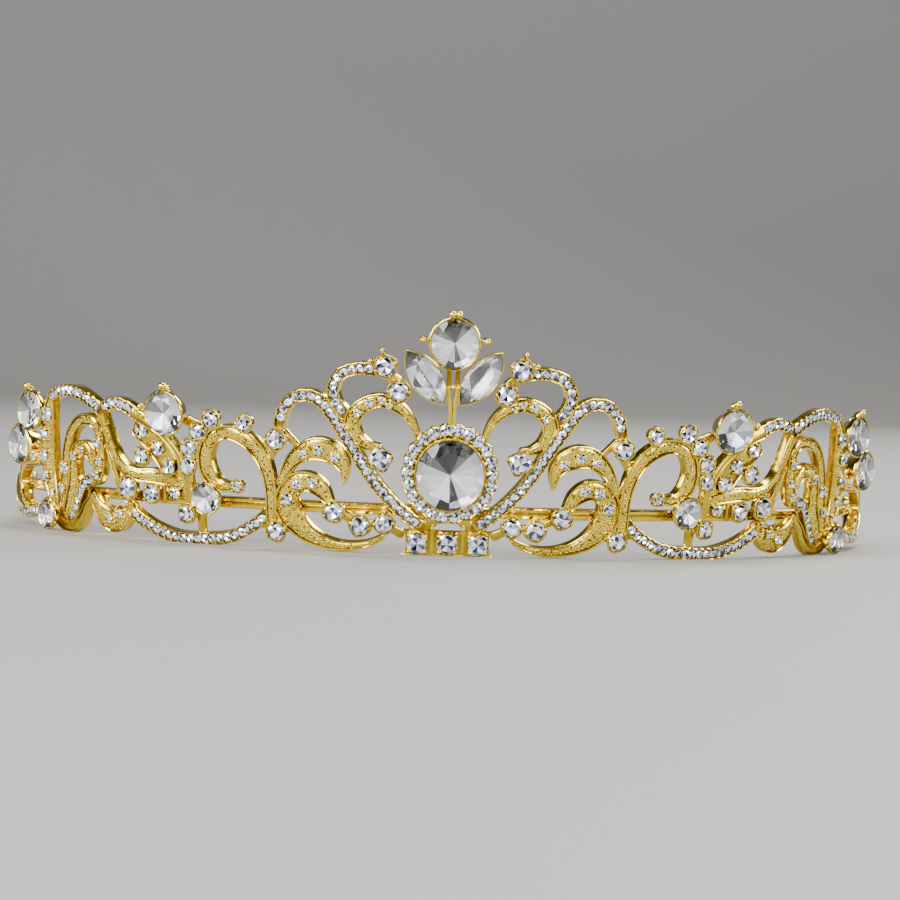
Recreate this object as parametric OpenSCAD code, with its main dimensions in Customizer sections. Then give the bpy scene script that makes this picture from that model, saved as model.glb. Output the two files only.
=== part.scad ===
// A crown of the tiara kind: soldered scrollwork on a springy headband, set with cut crystals.
// The pattern is drawn on the bent face in three measures: s runs along the head curve from the
// middle of the front, v runs up the face and w stands out of it. Everything is in millimetres.
// The right half is drawn and the left half is its mirror image.

/* [Head curve] */
// Radius of the head curve, seen from above
head_r = 74; // [72:0.5:76]
// Forward lean of the face, in degrees
lean = 12; // [9:1:15]
// Distance of the foot of the front ahead of the origin
front_y = 50.4; // [48:0.1:53]

/* [Metal] */
// Height of the rims of a stone channel above the back of the face
rim_h = 1.6; // [1.4:0.05:1.8]
// Height of the floor of a stone channel
floor_h = 1.05; // [0.9:0.05:1.2]
// Thickness of a rim
rim_t = 0.36; // [0.3:0.02:0.4]
// Width of a stone channel
channel_w = 2.1; // [2:0.05:2.2]
// Height of a plain scroll at its crown
scroll_h = 1.45; // [1.3:0.05:1.6]
// Wall of a stone's cup
cup_wall = 0.42; // [0.35:0.01:0.5]
// Radius of a ball at the end of a prong
ball_r = 0.6; // [0.5:0.05:0.7]

/* [Headband] */
// Lower edge of the band up the face
band_low = 6.2; // [6:0.1:6.6]
// Height of the band
band_h = 1.8; // [1.6:0.1:2]
// Thickness of the band behind the face
band_t = 1.3; // [1.2:0.05:1.5]
// Half of the band's whole length, to where its eyelet starts
band_reach = 151; // [148:0.5:153]
// Length of an eyelet
eyelet_l = 8; // [7.5:0.1:8.5]
// Height of an eyelet
eyelet_h = 4.4; // [4.2:0.1:4.8]

/* [Stones] */
// Diameter of the stone in the middle of the front
centre_d = 10.6; // [10.2:0.1:10.8]
// Diameter of the stone at the crest
crest_d = 7.6; // [7.2:0.1:7.8]
// Length of a navette
navette_l = 10.4; // [10:0.1:10.6]
// Width of a navette
navette_w = 4.9; // [4.6:0.1:5]
// Diameter of a stone in the halo
halo_d = 1.5; // [1.4:0.05:1.55]
// Number of stones in the halo
halo_count = 22; // [20:1:22]
// Diameter of a channel stone
pave_d = 1.2; // [1.1:0.05:1.25]
// Distance from one channel stone to the next
pave_pitch = 1.42; // [1.4:0.02:1.6]
// Gap between a stone and the metal that holds it
stone_gap = 0.08; // [0.06:0.01:0.1]

/* [Hidden] */
gold = [0.85, 0.66, 0.2];
crystal = [0.82, 0.88, 0.95];
ring_pitch = 3.6;
// Distance from the band to the backs of the scrolls, bridged by small posts of solder
band_off = 0.3;
post_places = [7.2, 26.2, 43.7, 58.3, 75.8, 98.4];
knot_s = 116;
knot_turn = 25;
post_turn = 8;

// Channels that hold small stones: rows of [s, v] along the middle
heart_line = [[4.3, 5.0], [8.4, 8.3], [12.4, 12.8], [15.9, 18.2], [19.2, 23.1], [22.9, 25.9], [26.6, 24.6],
    [27.8, 21.0]];
shoulder_loop = [[12.2, 30.6], [15.0, 30.7], [17.8, 29.7], [19.0, 27.4], [18.5, 25.0], [17.0, 23.1]];
wing_loop = [[64.8, 21.4], [63.0, 22.7], [60.6, 23.1], [58.2, 22.6], [55.6, 21.3]];
wing_arc = [[29.4, 6.1], [32.0, 3.8], [36.0, 1.8], [41.0, 1.15], [46.0, 1.15], [50.6, 2.2], [54.2, 3.7],
    [56.8, 5.3]];
side_loop = [[64.9, 21.8], [67.6, 23.1], [71.0, 24.3], [74.6, 24.7], [78.4, 24.3], [82.0, 23.2]];
side_arc = [[66.6, 9.7], [68.9, 8.9], [70.6, 6.6], [71.9, 4.0], [73.4, 2.0]];
end_curl = [[82.6, 4.6], [87.0, 3.1], [93.0, 2.4], [99.5, 2.6], [106.0, 3.7], [112.0, 5.4], [117.0, 7.1]];

// Plain and granulated scrolls: rows of [s, v, width] along the middle
inner_scroll = [[5.2, 19.6, 0.9], [6.5, 22.6, 1.4], [8.9, 24.8, 2.0], [12.0, 25.5, 2.4], [14.9, 23.9, 2.6],
    [15.8, 21.3, 2.7], [14.7, 19.1, 2.3], [12.8, 18.0, 1.5], [11.2, 17.9, 0.9]];
crescent_leaf = [[27.4, 11.2, 1.2], [25.7, 14.6, 2.4], [23.5, 16.6, 3.4], [20.9, 17.2, 3.9], [18.2, 16.2, 3.4],
    [16.8, 14.0, 2.0], [16.7, 11.5, 0.3]];
lower_scroll = [[10.4, 2.9, 0.9], [13.2, 1.6, 1.3], [17.0, 1.25, 1.7], [20.8, 2.1, 2.4], [24.0, 4.1, 3.4],
    [26.2, 7.2, 4.1], [25.6, 10.6, 3.7], [23.0, 11.7, 3.4], [20.6, 10.5, 2.8], [19.1, 8.3, 1.6]];
wing_scroll = [[28.6, 5.1, 1.8], [29.0, 10.8, 2.0], [30.4, 15.0, 2.4], [33.0, 17.9, 2.6], [36.8, 19.3, 2.5],
    [39.8, 18.2, 2.6], [41.0, 15.2, 2.8], [40.2, 12.2, 2.9], [38.0, 10.3, 2.0], [35.0, 10.3, 1.3]];
wing_spine = [[56.4, 21.6, 1.9], [53.0, 20.2, 1.5], [49.8, 18.4, 1.3], [46.8, 15.8, 1.3], [44.8, 12.6, 1.3],
    [44.0, 9.4, 1.3], [43.6, 6.0, 1.3]];
wing_web = [[55.8, 18.9, 3.0], [52.0, 16.9, 4.0], [48.8, 13.6, 4.2], [46.2, 8.6, 3.2]];
wing_bough = [[64.3, 20.8, 1.5], [62.5, 17.6, 1.6], [60.8, 14.4, 1.8], [58.2, 12.1, 2.0], [55.0, 11.2, 2.2],
    [51.6, 11.2, 2.5], [48.6, 10.8, 2.2], [45.2, 9.9, 1.2]];
wing_stay = [[56.0, 4.7, 1.8], [58.3, 7.0, 1.4], [60.3, 10.6, 1.3], [62.4, 15.2, 1.3]];
wing_petal = [[66.8, 6.8, 1.4], [64.8, 4.6, 2.8], [62.0, 3.2, 4.2], [59.2, 3.4, 4.4], [57.2, 5.0, 2.6]];
side_fall = [[81.9, 22.5, 3.0], [82.7, 20.4, 4.3], [83.2, 17.0, 5.4], [82.8, 13.2, 5.6], [81.6, 9.6, 4.6],
    [80.0, 6.4, 3.4], [78.4, 3.6, 2.6]];
side_arch = [[64.9, 17.6, 1.6], [66.4, 19.3, 1.8], [68.8, 20.0, 2.0], [71.6, 19.3, 2.2], [73.8, 17.2, 2.3],
    [75.0, 14.2, 2.5], [75.2, 11.0, 2.8], [75.7, 7.8, 2.8], [76.6, 4.8, 2.4]];
side_leg = [[65.2, 18.2, 2.0], [65.3, 15.6, 2.5], [65.0, 12.8, 2.8], [65.6, 10.3, 2.8], [67.4, 9.2, 1.8]];
side_curl = [[66.4, 12.4, 1.2], [67.6, 14.2, 2.0], [69.8, 15.0, 2.6], [71.7, 14.4, 2.4], [72.4, 12.0, 2.4],
    [72.2, 9.2, 2.8], [72.9, 6.4, 3.0], [74.2, 3.6, 2.4]];
side_crescent = [[66.2, 7.0, 1.2], [68.6, 5.0, 1.9], [69.9, 2.9, 2.3], [71.7, 1.5, 2.3], [74.2, 1.05, 2.1],
    [76.8, 1.4, 1.9], [79.2, 2.6, 1.8]];
side_ring = [[86.0, 12.0, 1.8], [90.4, 11.6, 2.0], [95.4, 11.0, 2.2], [98.8, 8.4, 2.4], [97.4, 5.2, 2.2],
    [93.4, 3.4, 2.0]];

// Every scroll with the height of its crown above the lowest one
scrolls = [[inner_scroll, 0], [crescent_leaf, 0.15], [lower_scroll, 0], [wing_scroll, 0.3], [wing_spine, 0.3],
    [wing_web, -0.3], [wing_bough, 0.15], [wing_stay, 0], [wing_petal, -0.15], [side_fall, 0],
    [side_arch, 0.15], [side_leg, -0.15], [side_curl, 0.3], [side_crescent, -0.15], [side_ring, 0.3]];

// Short joins between neighbours that are soldered together: rows of [s, v, width]
joins = [[[28.4, 17.2, 1.6], [30.0, 14.8, 1.4]], [[27.2, 19.8, 1.0], [24.6, 17.2, 1.0]],
    [[10.2, 29.6, 1.8], [8.8, 28.6, 1.8]], [[7.4, 3.6, 1.6], [9.0, 4.4, 1.4]],
    [[42.0, 6.2, 1.8], [41.5, 2.0, 1.3]], [[49.6, 10.4, 1.0], [49.6, 6.8, 1.0]],
    [[42.9, 20.0, 1.6], [45.2, 20.8, 1.6]], [[2.4, 5.9, 2.0], [5.2, 4.0, 2.0]],
    [[10.3, 5.2, 1.2], [14.0, 5.1, 1.2], [18.0, 6.8, 1.2]], [[25.0, 3.6, 1.4], [31.0, 4.2, 1.4]],
    [[85.4, 12.6, 2.6], [92.4, 14.0, 2.6]], [[84.6, 19.8, 2.1], [88.6, 20.2, 2.1]],
    [[84.4, 9.6, 2.0], [81.6, 9.0, 2.0]], [[85.6, 16.6, 2.0], [84.0, 16.2, 2.0]]];

// Stones in cups, one node each: rows of [name, s, v, diameter, height of the cup]
cup_name = 0;
cup_s = 1;
cup_v = 2;
cup_d = 3;
cup_h = 4;
single_cups = [["upper_collet", 10.6, 31.3, 3.3, 2.2], ["lower_collet", 8.4, 27.3, 3.2, 2.0],
    ["scroll_end", 11.0, 16.0, 3.0, 1.9], ["loop_end", 28.2, 18.5, 3.1, 1.9], ["neck", 27.6, 3.3, 3.0, 1.9],
    ["row_outer", 18.2, 7.0, 3.1, 1.9], ["row_middle", 13.9, 4.9, 3.1, 1.9], ["row_inner", 10.1, 5.4, 3.0, 1.9],
    ["rim", 33.9, 20.9, 2.6, 1.8]];
great_cups = [["wing_great", 48.2, 22.2, 7.0, 3.4], ["wing_round", 40.2, 8.2, 5.0, 2.4],
    ["side_upper", 88.4, 20.8, 6.6, 2.9], ["side_lower", 93.2, 14.6, 6.4, 3.3], ["drop", 79.4, 2.9, 4.4, 3.0]];

// Stones on seats and scrolls, several in one node: rows of [s, v, diameter, height of the metal under it]
chain_stones = [[39.9, 21.2, 2.6, 1.75], [42.2, 19.1, 2.6, 1.75], [43.8, 16.4, 2.7, 1.75],
    [44.1, 13.5, 2.3, 1.75]];
seated_wing_stones = [[53.9, 14.4, 2.9, 1.75], [51.5, 8.2, 3.0, 1.75], [57.0, 8.9, 3.6, 1.75],
    [44.0, 5.3, 2.8, 1.9], [34.6, 10.4, 1.9, 1.9]];
seated_side_stones = [[88.6, 12.6, 1.9, 1.75]];
panel_stones = [[14.9, 23.4, 1.4, 1.45], [13.0, 25.1, 1.5, 1.45], [11.1, 25.6, 1.3, 1.45],
    [9.9, 24.8, 1.1, 1.45], [23.6, 16.3, 1.7, 1.6], [21.0, 17.0, 1.8, 1.6], [18.2, 15.9, 1.7, 1.6],
    [26.1, 8.6, 2.1, 1.45], [24.4, 11.2, 1.9, 1.45], [21.9, 11.5, 1.8, 1.45]];
wing_stones = [[54.6, 18.6, 2.6, 1.15], [50.8, 15.8, 2.8, 1.15], [48.0, 12.9, 2.8, 1.6], [46.6, 8.5, 2.2, 1.6],
    [57.6, 6.2, 1.2, 1.45]];
side_stones = [[65.3, 16.1, 1.9, 1.3], [64.9, 12.8, 1.8, 1.3], [65.6, 10.4, 1.7, 1.3], [71.7, 13.4, 1.8, 1.75],
    [69.2, 14.8, 1.3, 1.75], [75.1, 11.2, 2.4, 1.6], [76.0, 7.6, 1.9, 1.6], [82.6, 20.2, 2.9, 1.45],
    [84.0, 16.6, 2.6, 1.45], [83.8, 12.9, 2.5, 1.45], [82.6, 9.3, 2.1, 1.45], [80.2, 6.4, 1.6, 1.45],
    [59.4, 4.2, 1.7, 1.3], [62.0, 3.2, 1.8, 1.3]];
base_stone_rows = [[-4.8, 2.2, 2.9, 1.3], [0, 2.2, 2.9, 1.3], [4.8, 2.2, 2.9, 1.3]];

centre_v = 13.8;
halo_out_r = 7.75;
halo_ring_r = 6.72;
halo_h = 1.6;
centre_cup_h = 2.8;
crest_v = 35.6;
crest_cup_h = 3.0;
navette_s = 4.3;
navette_v = 29.8;
navette_turn = 53.5;
navette_cup_h = 2.2;
base_half_w = 7.0;
base_top = 4.3;
// The plain arch over the base bar, lower than the stones that start beside it
base_arch = [[-5.6, 4.4, 1.4], [-3.4, 6.0, 2.0], [0, 6.5, 2.0], [3.4, 6.0, 2.0], [5.6, 4.4, 1.4]];
base_arch_h = 0.98;

// Balls on prongs: rows of [s, v, w, reach towards the cup in s, in v]
prongs = [[0.55, crest_v + 4.9, 3.4, -0.1, -1.4], [4.75, crest_v + 0.5, 3.2, -1.4, 0],
    [11.2, 34.0, 2.4, -0.2, -1.6], [13.1, 32.2, 2.2, -1.5, -0.4], [48.3, 26.8, 3.4, 0, -1.6],
    [52.8, 23.2, 3.4, -1.4, -0.2], [88.6, 25.0, 3.1, 0, -1.6]];

// Places on the bent face

function turn_at(s) = s / head_r * 180 / PI;
function along_dir(s) = [cos(turn_at(s)), sin(turn_at(s)), 0];
function up_dir() = [0, -sin(lean), cos(lean)];
function out_dir(s) =
    let (n = cross(along_dir(s), up_dir()))
    n / norm(n);
function on_face(s, v, w) =
    [head_r * sin(turn_at(s)), head_r * (1 - cos(turn_at(s))) - front_y, 0] + v * up_dir() + w * out_dir(s);

module at_face(s, v, w = 0, turn = 0) {
    x = along_dir(s);
    z = out_dir(s);
    y = cross(z, x);
    p = on_face(s, v, w);
    multmatrix([[x[0], y[0], z[0], p[0]], [x[1], y[1], z[1], p[1]], [x[2], y[2], z[2], p[2]], [0, 0, 0, 1]])
        rotate(turn)
            children();
}

// Smooth curves through the rows of a table

function blend(a, b, c, d, t) =
    0.5 * (2 * b + (c - a) * t + (2 * a - 5 * b + 4 * c - d) * t * t + (3 * b - a - 3 * c + d) * t * t * t);
function steps_between(a, b, pitch) = max(1, round(norm([b[0] - a[0], b[1] - a[1]]) / pitch));
function smooth(rows, pitch = ring_pitch) =
    let (last = len(rows) - 1)
    [for (i = [0 : last - 1])
        let (n = steps_between(rows[i], rows[i + 1], pitch))
        for (j = [0 : n - 1])
            blend(rows[max(i - 1, 0)], rows[i], rows[i + 1], rows[min(i + 2, last)], j / n),
    rows[last]];
function with_width(rows, width) = [for (r = rows) [r[0], r[1], width]];
function side_dir(path, i) =
    let (a = path[max(i - 1, 0)], b = path[min(i + 1, len(path) - 1)], d = [b[0] - a[0], b[1] - a[1]])
    [-d[1], d[0]] / norm(d);

// Solids from rings of points

function wall_faces(rings, count) =
    [for (i = [0 : rings - 2], k = [0 : count - 1])
        let (a = i * count + k, b = i * count + (k + 1) % count)
        each [[a, a + count, b + count], [a, b + count, b]]];

module loft(rings) {
    count = len(rings[0]);
    last = (len(rings) - 1) * count;
    polyhedron(
        points = [for (r = rings) each r],
        faces = concat([[for (k = [0 : count - 1]) k]], [[for (k = [count - 1 : -1 : 0]) last + k]],
            wall_faces(len(rings), count)));
}

function channel_section(h) =
    [[-h, 0], [h, 0], [h, rim_h], [h - rim_t, rim_h], [h - rim_t, floor_h], [rim_t - h, floor_h],
        [rim_t - h, rim_h], [-h, rim_h]];
function scroll_section(h, lift, crown = scroll_h) =
    [[-h, lift / 2 - 0.1], [h, lift / 2 - 0.1], [h * 0.9, crown + lift], [-h * 0.9, crown + lift]];
function solid_section(h, back) = [[-h, back], [h, back], [h, floor_h], [-h, floor_h]];
function join_section(h) = [[-h, 0.2], [h, 0.2], [h, scroll_h - 0.58], [-h, scroll_h - 0.58]];

// A bar that follows a path on the face, with one of the sections above
module bar(path, section) {
    loft([for (i = [0 : len(path) - 1])
        let (n = side_dir(path, i))
        [for (q = section(path[i][2] / 2)) on_face(path[i][0] + n[0] * q[0], path[i][1] + n[1] * q[0], q[1])]]);
}

module channel(rows) {
    bar(smooth(with_width(rows, channel_w)), function (h) channel_section(h));
}

module scroll(rows, lift = 0) {
    bar(smooth(rows), function (h) scroll_section(h, lift));
}

// Outlines of stones and their cups

function round_ring(r, z, sides, turn = 0) = [for (k = [0 : sides - 1])
    [r * cos(turn + k * 360 / sides), r * sin(turn + k * 360 / sides), z]];
// A boat shape: two arcs that meet in points on the x axis
function boat_ring(length, width, z, half = 5) =
    let (r = (length * length + width * width) / (4 * width), reach = asin(length / 2 / r))
    [for (side = [1, -1], k = [0 : half - 1])
        let (a = reach * (1 - 2 * k / half))
        [side * r * sin(a), side * (r * cos(a) - r + width / 2), z]];

// A cup with a hollow in its top for the stone's point: square with 4 sides, nearly round with 12
module cup(d, h, sides) {
    turn = 180 / sides;
    r = (d / 2 + stone_gap) / cos(turn);
    walls = [each round_ring(r * 0.86, 0.1, sides, turn), each round_ring(r + cup_wall, h, sides, turn),
        each round_ring(r, h, sides, turn), [0, 0, h - d * 0.27]];
    polyhedron(points = walls, faces = concat(
        [[for (k = [0 : sides - 1]) k]],
        [for (i = [0 : 1], k = [0 : sides - 1])
            let (a = i * sides + k, b = i * sides + (k + 1) % sides)
            each [[a, a + sides, b + sides], [a, b + sides, b]]],
        [for (k = [0 : sides - 1]) [2 * sides + k, 3 * sides, 2 * sides + (k + 1) % sides]]));
}

// A low square seat under a stone with a flat back
module low_seat(row) {
    half = row[2] / 2 + 0.12;
    at_face(row[0], row[1])
        translate([-half, -half, 0.31])
            cube([2 * half, 2 * half, row[3] - 0.31]);
}

module boat_cup(h) {
    l = navette_l + 2 * stone_gap;
    w = navette_w + 2 * stone_gap;
    loft([boat_ring(l - 1, w * 0.8, 0.1), boat_ring(l + 3 * cup_wall, w + 2 * cup_wall, h),
        boat_ring(l, w, h), boat_ring(l * 0.4, w * 0.3, h - 1.4)]);
}

// Stones

// A round stone: its edge has twice the sides of its table, with a triangle at each corner of the
// table and a trapezium between them. Its back is a point, or flat where the point is 0.
module cut_stone(d, table_sides = 4, point = 0, crown = 0.28) {
    m = table_sides;
    n = 2 * m;
    edge = round_ring(d / 2, 0, n, 180 / n);
    table = round_ring(d * 0.32, d * crown, m);
    back = [[0, 0, -d * point]];
    polyhedron(
        points = concat(edge, table, back),
        faces = concat([[for (k = [m - 1 : -1 : 0]) n + k]],
            [for (k = [0 : m - 1]) [n + k, 2 * k, (2 * k + n - 1) % n]],
            [for (k = [0 : m - 1]) [n + k, n + (k + 1) % m, 2 * k + 1, 2 * k]],
            point > 0 ? [for (k = [0 : n - 1]) [k, (k + 1) % n, n + m]] : [[for (k = [0 : n - 1]) k]]));
}

module boat_stone() {
    loft([boat_ring(navette_l * 0.3, 0.3, -1.0), boat_ring(navette_l, navette_w, 0),
        boat_ring(navette_l * 0.62, navette_w * 0.5, 0.85)]);
}

// Stones in a row along a channel

function run_lengths(path) =
    [for (i = 0, a = 0; i < len(path);
        a = a + (i + 1 < len(path) ? norm([path[i + 1][0] - path[i][0], path[i + 1][1] - path[i][1]]) : 0),
        i = i + 1) a];
function stone_places(rows, pitch = pave_pitch) =
    let (path = smooth(rows), run = run_lengths(path), whole = run[len(run) - 1],
        count = floor((whole - pitch * 0.1) / pitch),
        start = (whole - (count - 1) * pitch) / 2,
        s_of = [for (i = [0 : len(path) - 1]) [run[i], path[i][0]]],
        v_of = [for (i = [0 : len(path) - 1]) [run[i], path[i][1]]])
    [for (k = [0 : count - 1]) [lookup(start + k * pitch, s_of), lookup(start + k * pitch, v_of)]];

module channel_stones(rows) {
    for (p = stone_places(rows))
        at_face(p[0], p[1], floor_h + stone_gap)
            cut_stone(pave_d);
}

module seated_stones(rows) {
    for (r = rows)
        at_face(r[0], r[1], r[3] + stone_gap)
            cut_stone(r[2], 4, 0, 0.22);
}

module cupped_stone(row) {
    at_face(row[cup_s], row[cup_v], row[cup_h])
        cut_stone(row[cup_d], row[cup_d] > 4 ? 6 : 4, 0.2, 0.16);
}

function cup_called(cups, name) = [for (c = cups) if (c[cup_name] == name) c][0];

// The soldered metal

module half_scrollwork() {
    for (rows = [heart_line, shoulder_loop, wing_loop, side_loop])
        channel(rows);
    for (rows = [wing_arc, side_arc])
        bar(smooth(with_width(rows, channel_w)), function (h) solid_section(h, -0.06));
    bar(smooth(with_width(end_curl, channel_w)), function (h) solid_section(h, -1.4));
    for (pair = scrolls)
        scroll(pair[0], pair[1]);
    for (rows = joins)
        bar(rows, function (h) join_section(h));
}

module half_cups() {
    for (c = concat(single_cups, great_cups))
        at_face(c[cup_s], c[cup_v])
            cup(c[cup_d], c[cup_h], c[cup_d] > 4 ? 12 : 4);
    for (row = concat(chain_stones, seated_wing_stones, seated_side_stones))
        low_seat(row);
    at_face(navette_s, navette_v, 0, navette_turn)
        boat_cup(navette_cup_h);
}

module prong(row) {
    hull() {
        at_face(row[0], row[1], row[2])
            sphere(r = ball_r, $fn = 5);
        at_face(row[0] + row[3], row[1] + row[4], row[2] - 1.4)
            cylinder(r1 = ball_r * 0.6, r2 = 0, h = 0.3, $fn = 3);
    }
}

// The collar of small stones round the middle, with its cup
module halo_seat() {
    sides = halo_count;
    at_face(0, centre_v)
        loft([round_ring(halo_out_r, 0.1, sides), round_ring(halo_out_r, halo_h, sides),
            round_ring(centre_d / 2 + 0.5, halo_h, sides), round_ring(centre_d / 2 + 0.4, centre_cup_h, sides),
            round_ring(centre_d / 2 + stone_gap, centre_cup_h, sides),
            round_ring(0.4, centre_cup_h - centre_d * 0.23, sides)]);
}

module stem() {
    for (side = [-1, 1])
        bar([[side * 0.38, 21.0, 0.7], [side * 0.34, 24.5, 0.62], [side * 0.7, 33.0, 0.8]],
            function (h) scroll_section(h, 0));
}

module base_bar() {
    bar([[-base_half_w, base_top / 2 - 0.1, base_top + 0.5], [0, base_top / 2 - 0.1, base_top + 0.2],
        [base_half_w, base_top / 2 - 0.1, base_top + 0.5]], function (h) join_section(h));
    bar(smooth(base_arch), function (h) scroll_section(h, 0, base_arch_h));
    for (row = base_stone_rows)
        low_seat(row);
}

// The springy band behind the scrollwork, falling at its ends to the eyelets
module headband() {
    fall_start = 117;
    band_mid = band_low + band_h / 2;
    eyelet_v = eyelet_h / 2 - 0.1;
    low = function (s) abs(s) < fall_start ? band_mid
        : band_mid + (eyelet_v - band_mid) * (1 - cos(180 * (abs(s) - fall_start) / (band_reach - fall_start))) / 2;
    count = 40;
    back = -band_off - band_t;
    bar([for (k = [0 : count]) let (s = band_reach * (2 * k / count - 1)) [s, low(s), band_h]],
        function (h) [[-h, back], [h, back], [h, -band_off], [-h, -band_off]]);
    for (side = [0, 1])
        mirror([side, 0, 0]) {
            for (s = post_places)
                at_face(s, band_mid, 0, post_turn)
                    translate([-0.6, -0.6, -band_off - 0.4])
                        cube([1.2, 1.2, band_off + 0.8]);
            at_face(knot_s, band_mid, -band_off - band_t, knot_turn)
                knot();
            eyelet(band_reach + eyelet_l / 2 - 0.8, eyelet_v);
        }
}

// The lump of solder where the pattern ends and the bare arm starts
module knot() {
    loft([round_ring(0.9, -0.2, 7), round_ring(1.7, 0.8, 7), round_ring(1.5, 2.0, 7), round_ring(0.8, 2.7, 7)]);
}

// A flat ring that a hair pin passes through
module eyelet(s, v) {
    sides = 10;
    thick = 0.9;
    at_face(s, v, -band_off - band_t / 2 - thick / 2)
        difference() {
            linear_extrude(thick)
                scale([eyelet_l / eyelet_h, 1])
                    circle(d = eyelet_h, $fn = sides);
            translate([0, 0, -1])
                linear_extrude(3)
                    scale([(eyelet_l - 3) / (eyelet_h - 2.2), 1])
                        circle(d = eyelet_h - 2.2, $fn = sides);
        }
}

module tiara_frame() {
    color(gold)
        difference() {
            union() {
                for (side = [0, 1])
                    mirror([side, 0, 0]) {
                        half_scrollwork();
                        half_cups();
                        for (row = prongs)
                            prong(row);
                    }
                at_face(0, crest_v)
                    cup(crest_d, crest_cup_h, 12);
                halo_seat();
                stem();
                base_bar();
                headband();
            }
            // The underside is filed to one plane, so that the crown stands level
            translate([-100, -100, -10])
                cube([200, 200, 10]);
        }
}

// A stone that is on both sides: side is 0 on the right and 1 on the left
module on_side(side) {
    color(crystal)
        mirror([side, 0, 0])
            children();
}

module crest_stone() {
    color(crystal)
        at_face(0, crest_v, crest_cup_h)
            cut_stone(crest_d, 6, 0.2, 0.16);
}

module centre_stone() {
    color(crystal)
        at_face(0, centre_v, centre_cup_h)
            cut_stone(centre_d, 8, 0.2, 0.16);
}

module navette_stone(side) {
    on_side(side)
        at_face(navette_s, navette_v, navette_cup_h, navette_turn)
            boat_stone();
}

module single_stone(name, side) {
    on_side(side)
        cupped_stone(cup_called(single_cups, name));
}

module great_stone(name, side) {
    on_side(side)
        cupped_stone(cup_called(great_cups, name));
}

module halo_stones() {
    color(crystal)
        for (k = [0 : halo_count - 1])
            at_face(0, centre_v)
                rotate(k * 360 / halo_count)
                    translate([halo_ring_r, 0, halo_h + stone_gap])
                        cut_stone(halo_d);
}

module base_stones() {
    color(crystal)
        seated_stones(base_stone_rows);
}

module row_stones(rows, side) {
    on_side(side)
        channel_stones(rows);
}

module field_stones(rows, side) {
    on_side(side)
        seated_stones(rows);
}

tiara_frame();
crest_stone();
centre_stone();
navette_stone(0);  // navette_stone_right
navette_stone(1);  // navette_stone_left
single_stone("upper_collet", 0);  // upper_collet_stone_right
single_stone("upper_collet", 1);  // upper_collet_stone_left
single_stone("lower_collet", 0);  // lower_collet_stone_right
single_stone("lower_collet", 1);  // lower_collet_stone_left
single_stone("scroll_end", 0);  // scroll_end_stone_right
single_stone("scroll_end", 1);  // scroll_end_stone_left
single_stone("loop_end", 0);  // loop_end_stone_right
single_stone("loop_end", 1);  // loop_end_stone_left
single_stone("neck", 0);  // neck_stone_right
single_stone("neck", 1);  // neck_stone_left
single_stone("row_outer", 0);  // row_outer_stone_right
single_stone("row_outer", 1);  // row_outer_stone_left
single_stone("row_middle", 0);  // row_middle_stone_right
single_stone("row_middle", 1);  // row_middle_stone_left
single_stone("row_inner", 0);  // row_inner_stone_right
single_stone("row_inner", 1);  // row_inner_stone_left
single_stone("rim", 0);  // rim_stone_right
single_stone("rim", 1);  // rim_stone_left
great_stone("wing_great", 0);  // wing_great_stone_right
great_stone("wing_great", 1);  // wing_great_stone_left
great_stone("wing_round", 0);  // wing_round_stone_right
great_stone("wing_round", 1);  // wing_round_stone_left
great_stone("side_upper", 0);  // side_upper_stone_right
great_stone("side_upper", 1);  // side_upper_stone_left
great_stone("side_lower", 0);  // side_lower_stone_right
great_stone("side_lower", 1);  // side_lower_stone_left
great_stone("drop", 0);  // drop_stone_right
great_stone("drop", 1);  // drop_stone_left
halo_stones();
base_stones();
row_stones(heart_line, 0);  // heart_line_stones_right
row_stones(heart_line, 1);  // heart_line_stones_left
row_stones(shoulder_loop, 0);  // shoulder_stones_right
row_stones(shoulder_loop, 1);  // shoulder_stones_left
field_stones(panel_stones, 0);  // panel_stones_right
field_stones(panel_stones, 1);  // panel_stones_left
field_stones(chain_stones, 0);  // chain_stones_right
field_stones(chain_stones, 1);  // chain_stones_left
field_stones(concat(wing_stones, seated_wing_stones), 0);  // wing_stones_right
field_stones(concat(wing_stones, seated_wing_stones), 1);  // wing_stones_left
row_stones(wing_loop, 0);  // wing_loop_stones_right
row_stones(wing_loop, 1);  // wing_loop_stones_left
field_stones(concat(side_stones, seated_side_stones), 0);  // side_stones_right
field_stones(concat(side_stones, seated_side_stones), 1);  // side_stones_left
row_stones(side_loop, 0);  // side_loop_stones_right
row_stones(side_loop, 1);  // side_loop_stones_left
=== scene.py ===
"""A tiara of soldered gilt scrollwork set with cut crystals, dressed over its CAD frame.

Places on the bent front are given as in the part: s runs along the head curve from the middle of the
front, v runs up the face and w stands out of it, all in millimetres. The right half is drawn and the left
half is its mirror image. Meshes are made in metres.
"""

from __future__ import annotations

import logging
import math
from dataclasses import dataclass, field
from enum import Enum, IntEnum
from typing import Callable, Mapping, Sequence

import bmesh
import bpy
from bpy.types import ID, Material, Mesh, Node, NodeSocket, Object
from mathutils import Matrix, Vector

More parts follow.
